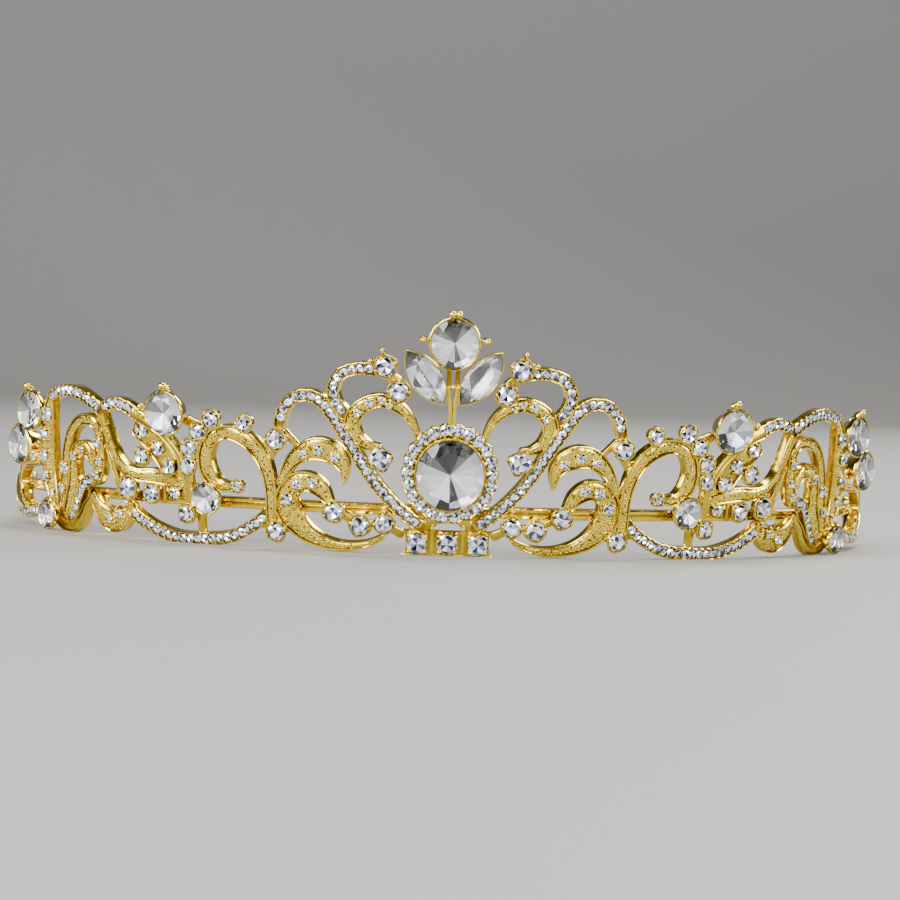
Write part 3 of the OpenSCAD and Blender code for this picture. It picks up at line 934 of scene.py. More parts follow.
@dataclass
class Seats:
    """Places that a shape is set on by the seating tree."""

    places: list[Vector] = field(default_factory=list)
    facings: list[float] = field(default_factory=list)
    measures: list[float] = field(default_factory=list)

    def add(self, axes: Matrix, size: float | Row) -> None:
        """Adds a place.

        Args:
            axes: Place and direction.
            size: Size in millimetres, the same all ways or for each axis.
        """
        self.places.append(axes.to_translation())
        self.facings += axes.to_euler("XYZ")
        self.measures += [value * MM for value in (size if isinstance(size, tuple) else (size, size, size))]

    def host(self, name: str) -> Object:
        """Makes the object whose points carry the places.

        Args:
            name: Name of the object.

        Returns:
            The object, in the scene.
        """
        mesh = bpy.data.meshes.new(name)
        mesh.from_pydata(self.places, [], [])
        for key, values in (("facing", self.facings), ("measure", self.measures)):
            mesh.attributes.new(key, "FLOAT_VECTOR", "POINT").data.foreach_set("vector", values)
        return linked(name, mesh)


@dataclass
class Workshop:
    """What every sub-assembly needs: the finishes, the trees and the small shapes."""

    palette: Palette
    seating: NodeTree
    scattering: NodeTree
    shapes: dict[str, Object]

    def seat(
        self,
        seats: Seats,
        shape: str,
        name: str,
        finish: Material,
        wobble: Row = (0.0, 0.0, 0.0),
        seed: int = 7,
    ) -> Object:
        """Sets a shape on every place.

        Args:
            seats: The places.
            shape: Name of the shape.
            name: Name of the new piece.
            finish: Its material.
            wobble: Largest random turn about each axis, in degrees.
            seed: Seed of the random turns.

        Returns:
            The new piece.
        """
        swing = tuple(math.radians(value) for value in wobble)
        values = {"Shape": self.shapes[shape], "Finish": finish, "Wobble": swing, "Seed": seed}
        return self.seating.run(seats.host(name), name, values)

    def set_metal(self, seats: Seats, shape: str, name: str, cast: bool = False) -> None:
        """Makes a piece of metal copies, polished or as cast."""
        settle(self.seat(seats, shape, name, self.palette.cast if cast else self.palette.polished))

    def set_stones(self, seats: Seats, shape: str, name: str, node: str, wobble: Row, seed: int) -> None:
        """Makes a piece of small stones that stands for a CAD node."""
        settle(self.seat(seats, shape, name, self.palette.stone, wobble, seed), node)

    def make(self, parts: MeshParts, name: str) -> None:
        """Makes a metal piece from its corners and faces."""
        settle(parts.to_object(name, self.palette.metals))

    def make_clear(self, parts: MeshParts, name: str, node: str) -> None:
        """Makes a large stone from its body and its foil."""
        settle(parts.to_object(name, self.palette.clear_and_foil, None), node)

    def clear(self) -> None:
        """Removes the small shapes once they have been copied."""
        for shape in self.shapes.values():
            bpy.data.objects.remove(shape)
        self.shapes.clear()


# Small shapes that are repeated


def loose_shape(name: str, corners: Sequence[Vector], faces: Sequence[Face], sharp: float | None) -> Object:
    """Makes a small shape of about unit size, to be copied.

    Args:
        name: Name of the shape.
        corners: Its corners.
        faces: Its faces.
        sharp: Angle past which an edge is sharp, in degrees, or None for flat facets, each with a number.

    Returns:
        The shape, which isn't in the scene.
    """
    mesh = bpy.data.meshes.new(name)
    mesh.from_pydata(corners, [], faces)
    if sharp is None:
        store_faces(mesh, "facet", [k * GOLDEN_SHARE % 1.0 for k in range(len(faces))])
    tidy_mesh(mesh, sharp)
    return bpy.data.objects.new(name, mesh)


def ringed_shape(name: str, rings: Sequence[Sequence[Vector]], sharp: float) -> Object:
    """Makes a small shape from rings of corners, of which the first and the last may shrink to a point."""
    corners = [corner for ring in rings for corner in ring]
    return loose_shape(name, corners, skin(len(rings), len(rings[0])), sharp)


def cut_faces(
    m: int, edge: float, table: float, crown: float, point: float, dip: float = 0.0
) -> tuple[list[Vector], list[Face]]:
    """Corners and faces of a cut stone.

    Args:
        m: Number of sides of the table.
        edge: Radius of the edge.
        table: Radius of the table.
        crown: Height of the table over the edge.
        point: Depth of the point under the edge.
        dip: Depth of a star of facets in place of the table, as a foil shows it through the glass.

    Returns:
        The corners and the faces: a table or star, triangles, kites, small edge triangles and a point.
    """
    corners = ring_of(table, crown, m) + ring_of((table + edge) / 2 * 1.04, crown * 0.55, m, math.pi / m)
    corners += ring_of(edge, 0.03 * edge, 2 * m) + ring_of(edge, -0.03 * edge, 2 * m)
    corners += [Vector((0, 0, -point)), Vector((0, 0, crown - dip))]
    rim, low, tip, star = 2 * m, 4 * m, 6 * m, 6 * m + 1
    faces = [(k, (k + 1) % m, star) for k in range(m)]
    if dip == 0:
        corners.pop()
        faces = [tuple(range(m))]
    for k in range(m):
        near, far = rim + 2 * k, rim + (2 * k + 2) % rim
        faces += [(k, m + k, (k + 1) % m), (k, m + (k - 1) % m, near, m + k)]
        faces += [(m + k, near, near + 1), (m + k, near + 1, far)]
    faces += [(rim + k, low + k, low + (k + 1) % rim, rim + (k + 1) % rim) for k in range(rim)]
    faces += [(low + k, tip, low + (k + 2) % rim, low + k + 1) for k in range(0, rim, 2)]
    return corners, faces


def soft_square(turn: float, power: float) -> float:
    """How far a soft square of unit half width reaches at a turn. With a power of 2 it is a circle."""
    return (abs(math.cos(turn)) ** power + abs(math.sin(turn)) ** power) ** (-1 / power)


def stone_shape(name: str, m: int, sizes: Row, squared: bool = False) -> Object:
    """A cut stone of unit diameter with a foil's star in its table.

    Args:
        name: Name of the shape.
        m: Number of sides of the table.
        sizes: Radius of the table, height of the table, depth of the point and depth of the star.
        squared: Whether the stone is square with soft corners.

    Returns:
        The shape, which isn't in the scene.
    """
    corners, faces = cut_faces(m, 0.5, *sizes)
    if squared:
        for corner in corners:
            corner.xy *= soft_square(math.atan2(corner.y, corner.x), 5.0)
    return loose_shape(name, corners, faces, None)


def ball_shape(name: str, steps: int, sides: int) -> Object:
    """A ball of unit radius."""
    rises = [math.pi * (i / steps - 0.5) for i in range(steps + 1)]
    return ringed_shape(name, [ring_of(math.cos(rise), math.sin(rise), sides) for rise in rises], 180.0)


def claw_shape() -> Object:
    """A claw of unit height that leans over the stone along -x, with a rounded tip.

    Returns:
        The shape, which isn't in the scene.
    """
    rows = (
        (0.0, 0.0, 0.2), (0.02, 0.55, 0.17), (-0.04, 0.82, 0.17), (-0.16, 1.0, 0.16), (-0.26, 1.08, 0.1),
        (-0.32, 1.1, 0.0),
    )
    rings = [[Vector((x, 0, 0)) + corner for corner in ring_of(r, z, 8)] for x, z, r in rows]
    return ringed_shape("claw", rings, 70.0)


def cup_shape(form: CupForm, waist: float, lip: float, power: float) -> Object:
    """A cup of unit inner diameter and unit height, open at its top.

    Args:
        form: Which cup it is.
        waist: Radius of its foot.
        lip: Radius of its lip.
        power: How square it is, from 2 for a round one.

    Returns:
        The shape, which isn't in the scene.
    """
    rows = (
        (waist, 0.0), (waist + 0.02, 0.3), (lip - 0.04, 0.72), (lip, 0.9), (lip - 0.005, 0.97),
        (lip - 0.025, 1.0), (0.512, 1.0), (0.5, 0.92), (0.3, 0.5),
    )
    ways = [(turn, soft_square(turn, power)) for turn in turns(32, math.pi / 32)]
    rings = [[spoke(turn, r * reach, z) for turn, reach in ways] for r, z in rows]
    return ringed_shape(form.value, rings, 40.0)


def make_shapes() -> dict[str, Object]:
    """Makes every shape that is repeated.

    Returns:
        The shapes by their names.
    """
    made = (
        stone_shape("pave", 4, (0.33, 0.2, 0.16, 0.07)),
        stone_shape("chaton", 7, (0.32, 0.19, 0.3, 0.075)),
        stone_shape("cushion", 8, (0.33, 0.17, 0.3, 0.07), squared=True),
        ball_shape("bead", 4, 6),
        ball_shape("ball", 10, 16),
        claw_shape(),
        cup_shape(CupForm.CLAWS, 0.4, 0.6, 2.6),
        cup_shape(CupForm.SQUARE, 0.46, 0.545, 7.0),
        cup_shape(CupForm.BEZEL, 0.46, 0.64, 2.0),
    )
    return {shape.name: shape for shape in made}


# Bars that follow a path on the face


TIP_STEPS = ((0.26, 0.9), (0.5, 0.68), (0.62, 0.4))


def sweep(parts: MeshParts, path: FacePath, side: Side, section: Section, finishes: Finishes = 0) -> None:
    """Draws a section along a path and rounds off its ends.

    Args:
        parts: Piece that the bar is added to.
        path: The path.
        side: Half of the tiara.
        section: Gives the outline for a half width and a run along the path, as n and w pairs.
        finishes: One finish, or one for each stretch of the outline.
    """
    last = len(path.rows) - 1
    steps = [(0, -path.rows[0][2] / 2 * ahead, share) for ahead, share in reversed(TIP_STEPS)]
    steps += [(i, 0.0, 1.0) for i in range(last + 1)]
    steps += [(last, path.rows[last][2] / 2 * ahead, share) for ahead, share in TIP_STEPS]
    rings = []
    for i, ahead, share in steps:
        outline = section(path.rows[i][2] / 2, path.runs[i])
        middle = sum(w for _, w in outline) / len(outline)
        heights = [middle + (w - middle) * (0.5 + 0.5 * share) for _, w in outline]
        rings.append([path.place(i, side, n * share, w, ahead) for (n, _), w in zip(outline, heights)])
    parts.loft(rings, finishes)


def wire_section(low: float, top: float) -> Section:
    """The section of a plain bar with rounded edges.

    Args:
        low: Height of its back over the face.
        top: Height of its front.

    Returns:
        The section.
    """

    def outline(half: float, run: float) -> Outline:
        """The outline at one step."""
        soft = min(half * 0.6, (top - low) * 0.3)
        flank = [(half - soft * 0.4, low), (half, low + soft * 0.4), (half, top - soft)]
        return mirrored(flank + [(half - soft * 0.3, top - soft * 0.3), (half - soft, top)])

    return outline


def add_rod(parts: MeshParts, spots: Sequence[Vector], radii: Sequence[float]) -> None:
    """Adds a round polished rod.

    Args:
        parts: Piece that the rod is added to.
        spots: Places on its middle line.
        radii: Its radius at each place, in millimetres.
    """
    rings = []
    for i, (spot, r) in enumerate(zip(spots, radii)):
        ahead = (spots[min(i + 1, len(spots) - 1)] - spots[max(i - 1, 0)]).normalized()
        cross = ahead.orthogonal().normalized()
        other = ahead.cross(cross)
        rings.append([spot + (cross * x + other * y) * r * MM for x, y, _ in ring_of(1.0, 0.0, 10)])
    parts.loft(rings, Metal.POLISHED)


# The stone channels


@dataclass(frozen=True)
class Channel:
    """A bar with a floor between two rims that carries a row of small stones.

    Attributes:
        name: Start of its pieces' names.
        rows: Rows of s and v.
        back: Height of its back over the face.
        node: Start of its stones' node name, where the part has them.
    """

    name: str
    rows: tuple[Row, ...]
    back: float = 0.0
    node: str | None = None


@dataclass
class Channels:
    """The stone channels of both sides."""

    shop: Workshop
    rim_h: float = 1.6
    floor_h: float = 1.05
    rim_t: float = 0.26
    swell: float = 0.045
    bevel: float = 0.14
    width: float = 2.1
    stone_d: float = 1.6
    pitch: float = 1.42
    stone_lift: float = 0.24
    grain_r: float = 0.15
    lines: tuple[Channel, ...] = (
        Channel("heart", (
            (4.3, 5.0), (8.4, 8.3), (12.4, 12.8), (15.9, 18.2), (19.2, 23.1), (21.1, 25.2), (23.2, 26.0),
            (25.4, 25.5), (27.1, 23.7), (27.8, 21.0)), node="heart_line_stones"),
        Channel("shoulder", (
            (12.2, 30.6), (15.0, 30.7), (17.8, 29.7), (19.0, 27.4), (18.5, 25.0),
            (17.0, 23.1)), node="shoulder_stones"),
        Channel("wing_loop", (
            (64.8, 21.4), (63.0, 22.7), (60.6, 23.1), (58.2, 22.6), (55.6, 21.3)), node="wing_loop_stones"),
        Channel("wing_arc", (
            (29.4, 6.1), (32.0, 3.8), (36.0, 1.8), (41.0, 1.15), (46.0, 1.15), (50.6, 2.2), (54.2, 3.7),
            (56.8, 5.3)),
            -0.06),
        Channel("side_loop", (
            (64.9, 21.8), (67.6, 23.1), (71.0, 24.3), (74.6, 24.7), (78.4, 24.3),
            (82.0, 23.2)), node="side_loop_stones"),
        Channel("side_arc", ((66.6, 9.7), (68.9, 8.9), (70.6, 6.6), (71.9, 4.0), (73.4, 2.0)), -0.06),
        Channel("end_curl", (
            (82.6, 4.6), (87.0, 3.1), (93.0, 2.4), (99.5, 2.6), (106.0, 3.7), (112.0, 5.4),
            (117.0, 7.1)), -1.4),
    )

    def section(self, back: float) -> Section:
        """The section of a channel.

        Args:
            back: Height of the back over the face.

        Returns:
            The section, with rims that swell beside each stone.
        """
        top, t, soft = self.rim_h, self.rim_t, self.bevel

        def outline(half: float, run: float) -> Outline:
            """The outline at one step."""
            h = half + self.swell * math.cos(math.tau * run / self.pitch)
            wall = [(half - soft, back), (half, back + soft), (half, top - 0.4), (h, top - soft)]
            rim = [(h - 0.05, top - 0.03), (h - t * 0.5, top), (h - t + 0.04, top - 0.03)]
            return mirrored([*wall, *rim, (h - t, top - soft), (h - t, self.floor_h)])

        return outline

    def build(self) -> None:
        """Builds the channels, their stones and the grains that hold them."""
        walls = [Metal.RECESS] + [Metal.POLISHED] * 7 + [Metal.RECESS] * 3 + [Metal.POLISHED] * 7
        grains = Seats()
        for line in self.lines:
            parts = MeshParts()
            path = FacePath(line.rows, self.width, pitch=0.3)
            places = path.evenly(self.pitch)
            for side in Side:
                sweep(parts, path, side, self.section(line.back), walls)
                stones = Seats()
                for s, v, turn in places:
                    stones.add(on_side(side, s, v, self.floor_h + self.stone_lift, turn), self.stone_d)
                self.add_grains(grains, places, side)
                node = f"{line.node}_{side.word}" if line.node else "tiara_frame"
                names = f"{line.name}_row_{side.word}", node
                self.shop.set_stones(stones, "pave", *names, (6.0, 6.0, 25.0), len(line.rows) + side.value)
            self.shop.make(parts, f"{line.name}_channels")
        self.shop.set_metal(grains, "bead", "channel_grains")

    def add_grains(self, grains: Seats, places: Sequence[Row], side: Side) -> None:
        """Adds a grain on each rim between every two stones.

        Args:
            grains: Where they are added.
            places: Places of the stones, with the direction of travel.
            side: Half of the tiara.
        """
        for (s0, v0, a0), (s1, v1, a1) in zip(places, places[1:]):
            turn = math.radians((a0 + a1) / 2) if abs(a0 - a1) < 180 else math.radians(a0)
            for hand in (-1, 1):
                reach = hand * (self.width / 2 - self.rim_t - 0.02)
                s, v = (s0 + s1) / 2 - math.sin(turn) * reach, (v0 + v1) / 2 + math.cos(turn) * reach
                grains.add(on_side(side, s, v, self.rim_h - 0.05), self.grain_r)


# The scrolls


@dataclass(frozen=True)
class Scroll:
    """One scroll of the pattern.

    Attributes:
        rows: Rows of s, v and width.
        lift: Height of its crown above the lowest scroll.
        bands: Widths of the smooth bands on its left and right edge.
        grained: Whether the part between the bands is grained.
    """

    rows: tuple[Row, ...]
    lift: float = 0.0
    bands: tuple[float, float] = (0.3, 0.3)
    grained: bool = True


@dataclass
class ScrollGroup:
    """Scrolls that are soldered into one piece on each side."""

    shop: Workshop
    name: str
    scrolls: tuple[Scroll, ...]
    joins: tuple[tuple[Row, ...], ...]
    crown: float = 1.45
    sink: float = 0.26
    step: float = 0.08
    grain_r: tuple[float, float] = (0.1, 0.17)
    grain_pitch: float = 0.5
    grain_density: float = 2e7

    def section(self, scroll: Scroll) -> Section:
        """The section of a scroll: two smooth bands with a sunk, domed middle between them.

        Args:
            scroll: The scroll.

        Returns:
            The section.
        """
        top, low = self.crown + scroll.lift, scroll.lift / 2 - 0.1

        def outline(half: float, run: float) -> Outline:
            """The outline at one step."""
            left, right = (min(band, half * 0.52) for band in scroll.bands)
            deep = min(1.0, max(0.08, (half - 0.5) / 0.6))
            sink, soft = self.sink * deep, 0.12 * min(1.0, half)
            groove = min(0.12, (2 * half - left - right) * 0.12) * deep
            middle = (left - right) / 2

            def flank(band: float, shift: float) -> Outline:
                """One half, from the back to near the middle, for its band and the shift of the middle."""
                inner = half - band
                return [
                    (half - soft, low),
                    (half, low + soft),
                    (half, top - soft * 1.4),
                    (half - soft * 0.5, top - soft * 0.3),
                    (half - band * 0.5, top),
                    (inner + soft * 0.3, top - soft * 0.6),
                    (inner, top - sink - self.step * deep),
                    (inner - groove, top - sink),
                    ((inner + shift) / 2, top - sink * 0.55),
                ]

            return mirrored(flank(right, middle) + [(middle, top - sink * 0.4)], flank(left, -middle))

        return outline

    def build(self) -> None:
        """Builds the scrolls of both sides with their grains."""
        parts, beds = MeshParts(), MeshParts()
        band = [Metal.CAST] * 2 + [Metal.POLISHED] * 3 + [Metal.RECESS] * 2
        for side in Side:
            for scroll in self.scrolls:
                path = FacePath(scroll.rows)
                body = [Metal.GRAINED if scroll.grained else Metal.CAST] * 4
                finishes = [Metal.RECESS, *band, *body, *reversed(band)]
                sweep(parts, path, side, self.section(scroll), finishes)
                if scroll.grained:
                    self.add_bed(beds, path, side, scroll)
            for rows in self.joins:
                sweep(parts, FacePath(rows), side, wire_section(0.2, self.crown - 0.4), Metal.CAST)
        metal = parts.to_object(self.name, self.shop.palette.metals)
        values = {
            "Shape": self.shop.shapes["bead"],
            "Finish": self.shop.palette.polished,
            "Spacing": self.grain_pitch * MM,
            "Density": self.grain_density,
            "Smallest": self.grain_r[0] * MM,
            "Largest": self.grain_r[1] * MM,
            "Seed": len(self.scrolls),
        }
        bed = beds.to_object(f"{self.name}_bed", [])
        settle(self.shop.scattering.run(bed, f"{self.name}_grains", values))
        settle(metal)

    def add_bed(self, beds: MeshParts, path: FacePath, side: Side, scroll: Scroll) -> None:
        """Adds the open strip that the grains of a scroll lie on, three corners wide.

        Args:
            beds: Where it is added.
            path: Path of the scroll.
            side: Half of the tiara.
            scroll: The scroll.
        """
        outline = self.section(scroll)
        corners: list[Vector] = []
        for i, row in enumerate(path.rows):
            corners += [path.place(i, side, n, w - 0.02) for n, w in outline(row[2] / 2, 0.0)[8:13:2]]
        starts = [k for k in range(len(corners) - 3) if k % 3 < 2]
        beds.add(corners, [(k, k + 1, k + 4, k + 3)[:: side.value] for k in starts])


def scroll_groups(shop: Workshop) -> list[ScrollGroup]:
    """The scrolls of the front, the wings and the sides.

    Args:
        shop: The workshop.

    Returns:
        The groups, in the order in which they are built.
    """
    front = (
        Scroll((
            (5.2, 19.6, 0.9), (6.5, 22.6, 1.4), (8.9, 24.8, 2.0), (12.0, 25.5, 2.4), (14.9, 23.9, 2.6),
            (15.8, 21.3, 2.7), (14.7, 19.1, 2.3), (12.8, 18.0, 1.5), (11.2, 17.9, 0.9))),
        Scroll((
            (27.4, 11.2, 1.2), (25.7, 14.6, 2.4), (23.5, 16.6, 3.4), (20.9, 17.2, 3.9), (18.2, 16.2, 3.4),
            (16.8, 14.0, 2.0), (16.7, 11.5, 0.3)), 0.15, (0.3, 0.38)),
        Scroll((
            (10.4, 2.9, 0.9), (13.2, 1.6, 1.3), (17.0, 1.25, 1.7), (20.8, 2.1, 2.4), (24.0, 4.1, 3.4),
            (26.2, 7.2, 4.1), (25.6, 10.6, 3.7), (23.0, 11.7, 3.4), (20.6, 10.5, 2.8),
            (19.1, 8.3, 1.6)), 0.0, (0.42, 0.32)),
    )
    front_joins = (
        ((28.4, 17.2, 1.6), (30.0, 14.8, 1.4)),
        ((27.2, 19.8, 1.0), (24.6, 17.2, 1.0)),
        ((10.2, 29.6, 1.8), (8.8, 28.6, 1.8)),
        ((7.4, 3.6, 1.6), (9.0, 4.4, 1.4)),
        ((10.3, 5.2, 1.2), (14.0, 5.1, 1.2), (18.0, 6.8, 1.2)),
        ((25.0, 3.6, 1.4), (31.0, 4.2, 1.4)),
        ((2.4, 5.9, 2.0), (5.2, 4.0, 2.0)),
    )
    wings = (
        Scroll((
            (28.6, 5.1, 1.8), (29.0, 10.8, 2.0), (30.4, 15.0, 2.4), (33.0, 17.9, 2.6), (36.8, 19.3, 2.5),
            (39.8, 18.2, 2.6), (41.0, 15.2, 2.8), (40.2, 12.2, 2.9), (38.0, 10.3, 2.0), (35.0, 10.3, 1.3)),
            0.3, (0.3, 0.42)),
        Scroll((
            (56.4, 21.6, 1.9), (53.0, 20.2, 1.5), (49.8, 18.4, 1.3), (46.8, 15.8, 1.3), (44.8, 12.6, 1.3),
            (44.0, 9.4, 1.3), (43.6, 6.0, 1.3)), 0.3, grained=False),
        Scroll((
            (55.8, 18.9, 3.0), (52.0, 16.9, 4.0), (48.8, 13.6, 4.2), (46.2, 8.6, 3.2)), -0.3, grained=False),
        Scroll((
            (64.3, 20.8, 1.5), (62.5, 17.6, 1.6), (60.8, 14.4, 1.8), (58.2, 12.1, 2.0), (55.0, 11.2, 2.2),
            (51.6, 11.2, 2.5), (48.6, 10.8, 2.2), (45.2, 9.9, 1.2)), 0.15),
        Scroll(((56.0, 4.7, 1.8), (58.3, 7.0, 1.4), (60.3, 10.6, 1.3), (62.4, 15.2, 1.3)), grained=False),
        Scroll((
            (66.8, 6.8, 1.4), (64.8, 4.6, 2.8), (62.0, 3.2, 4.2), (59.2, 3.4, 4.4), (57.2, 5.0, 2.6)), -0.15),
    )
    wing_joins = (
        ((42.0, 6.2, 1.8), (41.5, 2.0, 1.3)),
        ((49.6, 10.4, 1.0), (49.6, 6.8, 1.0)),
        ((42.9, 20.0, 1.6), (45.2, 20.8, 1.6)),
    )
    sides = (
        Scroll((
            (81.6, 23.3, 1.8), (82.2, 21.9, 3.4), (82.7, 20.2, 4.4), (83.2, 17.0, 5.4), (82.8, 13.2, 5.6),
            (81.6, 9.6, 4.6), (80.0, 6.4, 3.4), (78.4, 3.6, 2.6)), 0.0, (0.34, 0.34)),
        Scroll((
            (64.9, 17.6, 1.6), (66.4, 19.3, 1.8), (68.8, 20.0, 2.0), (71.6, 19.3, 2.2), (73.8, 17.2, 2.3),
            (75.0, 14.2, 2.5), (75.2, 11.0, 2.8), (75.7, 7.8, 2.8), (76.6, 4.8, 2.4)), 0.15),
        Scroll((
            (65.2, 18.2, 2.0), (65.3, 15.6, 2.5), (65.0, 12.8, 2.8), (65.6, 10.3, 2.8), (67.4, 9.2, 1.8)),
            -0.15),
        Scroll((
            (66.4, 12.4, 1.2), (67.6, 14.2, 2.0), (69.8, 15.0, 2.6), (71.7, 14.4, 2.4), (72.4, 12.0, 2.4),
            (72.2, 9.2, 2.8), (72.9, 6.4, 3.0), (74.2, 3.6, 2.4)), 0.3),
        Scroll((
            (66.2, 7.0, 1.2), (68.6, 5.0, 1.9), (69.9, 2.9, 2.3), (71.7, 1.5, 2.3), (74.2, 1.05, 2.1),
            (76.8, 1.4, 1.9), (79.2, 2.6, 1.8)), -0.15, grained=False),
        Scroll((
            (86.0, 12.0, 1.8), (90.4, 11.6, 2.0), (95.4, 11.0, 2.2), (98.8, 8.4, 2.4), (97.4, 5.2, 2.2),
            (93.4, 3.4, 2.0)),
            0.3),
    )
    side_joins = (
        ((85.4, 12.6, 2.6), (92.4, 14.0, 2.6)),
        ((84.6, 19.8, 2.1), (88.6, 20.2, 2.1)),
        ((84.4, 9.6, 2.0), (81.6, 9.0, 2.0)),
        ((85.6, 16.6, 2.0), (84.0, 16.2, 2.0)),
    )
    return [
        ScrollGroup(shop, "front_scrolls", front, front_joins),
        ScrollGroup(shop, "wing_scrolls", wings, wing_joins),
        ScrollGroup(shop, "side_scrolls", sides, side_joins),
    ]


# Stones in cups


@dataclass(frozen=True)
class Cup:
    """A stone in a cup of its own on each side.

    Attributes:
        name: Start of the stone's node name.
        s: Place along the head curve.
        v: Place up the face.
        d: Diameter of the stone.
        h: Height of the cup.
        form: How the stone is held.
        turn: Turn of the cup in degrees.
        yaw: Turn towards the front in degrees.
        pattern: Painted reflections on the foil of a large stone.
    """

    name: str
    s: float
    v: float
    d: float
    h: float
    form: CupForm = CupForm.CLAWS
    turn: float = 45.0
    yaw: float = 0.0
    pattern: FoilPattern = FoilPattern.MIXED

    def names(self, side: Side) -> tuple[str, str]:
        """The names of the stone's piece and of the CAD node that it stands for."""
        return f"{self.name}_crystal_{side.word}", f"{self.name}_stone_{side.word}"

    def facing(self, side: Side, w: float) -> Matrix:
        """The axes of the cup at a height over the face, turned towards the front.

        Args:
            side: Half of the tiara.
            w: Height over the face, along the cup's own axis.

        Returns:
            The axes.
        """
        lean = Matrix.Rotation(math.radians(-side.value * self.yaw), 4, "Y")
        spin = Matrix.Rotation(math.radians(side.value * self.turn), 4, "Z")
        middle = Matrix.Translation((0, 0, self.h * 0.5 * MM))
        rest = Matrix.Translation((0, 0, (w - self.h * 0.5) * MM))
        return on_side(side, self.s, self.v, 0.0) @ middle @ lean @ rest @ spin


CLAW_GAP = 0.16
CLAW_DROP = 0.75
CLAW_SIZE = (1.15, 1.6, 1.15)


def add_claws(
    claws: Seats, s: float, v: float, h: float, d: float, turn: float, side: Side, count: int = 4
) -> None:
    """Adds claws round a stone.

    Args:
        claws: Where they are added.
        s: Place of the stone along the head curve.
        v: Place of the stone up the face.
        h: Height of the stone's edge.
        d: Diameter of the stone.
        turn: Turn of the cup in degrees.
        side: Half of the tiara.
        count: Number of claws.
    """
    for angle in turns(count, math.radians(turn + 45.0)):
        out = spoke(angle, d / 2 + CLAW_GAP)
        facing = math.degrees(angle) if side is Side.RIGHT else 180.0 - math.degrees(angle)
        claws.add(FACE.stand(side.value * (s + out.x), v + out.y, h - CLAW_DROP, facing), CLAW_SIZE)


@dataclass
class SmallCups:
    """The stones of about three millimetres, one to a cup."""

    shop: Workshop
    foot: float = 0.1
    stone_lift: float = 0.06
    cups: tuple[Cup, ...] = (
        Cup("upper_collet", 10.6, 31.3, 3.3, 2.2, turn=20.0),
        Cup("lower_collet", 8.4, 27.3, 3.2, 2.0),
        Cup("scroll_end", 11.0, 16.0, 3.3, 1.9, CupForm.SQUARE, 28.0),
        Cup("loop_end", 28.2, 18.5, 3.1, 1.9),
        Cup("neck", 27.6, 3.3, 3.0, 1.9, turn=20.0),
        Cup("row_outer", 18.2, 7.0, 3.1, 1.9, turn=20.0),
        Cup("row_middle", 13.9, 4.9, 3.1, 1.9, turn=60.0),
        Cup("row_inner", 10.1, 5.4, 3.0, 1.9, turn=40.0),
        Cup("rim", 33.9, 20.9, 2.6, 1.8, CupForm.BEZEL),
    )

    def build(self) -> None:
        """Builds the cups, their claws and their stones."""
        seats = {form: Seats() for form in CupForm}
        claws = Seats()
        for side in Side:
            for cup in self.cups:
                seats[cup.form].add(on_side(side, cup.s, cup.v, self.foot, cup.turn), (cup.d, cup.d, cup.h))
                add_claws(claws, cup.s, cup.v, cup.h, cup.d, cup.turn, side)
                stone = Seats()
                stone.add(on_side(side, cup.s, cup.v, cup.h + self.stone_lift, cup.turn), cup.d)
                shape, spin = ("cushion", 2.0) if cup.form is CupForm.SQUARE else ("chaton", 40.0)
                self.shop.set_stones(stone, shape, *cup.names(side), (3.0, 3.0, spin), int(cup.s * 7))
        cast = self.shop.palette.cast
        made = [self.shop.seat(places, form.value, f"{form.value}s", cast) for form, places in seats.items()]
        settle(join_pieces("small_cups", made))
        self.shop.set_metal(claws, "claw", "small_cup_claws")


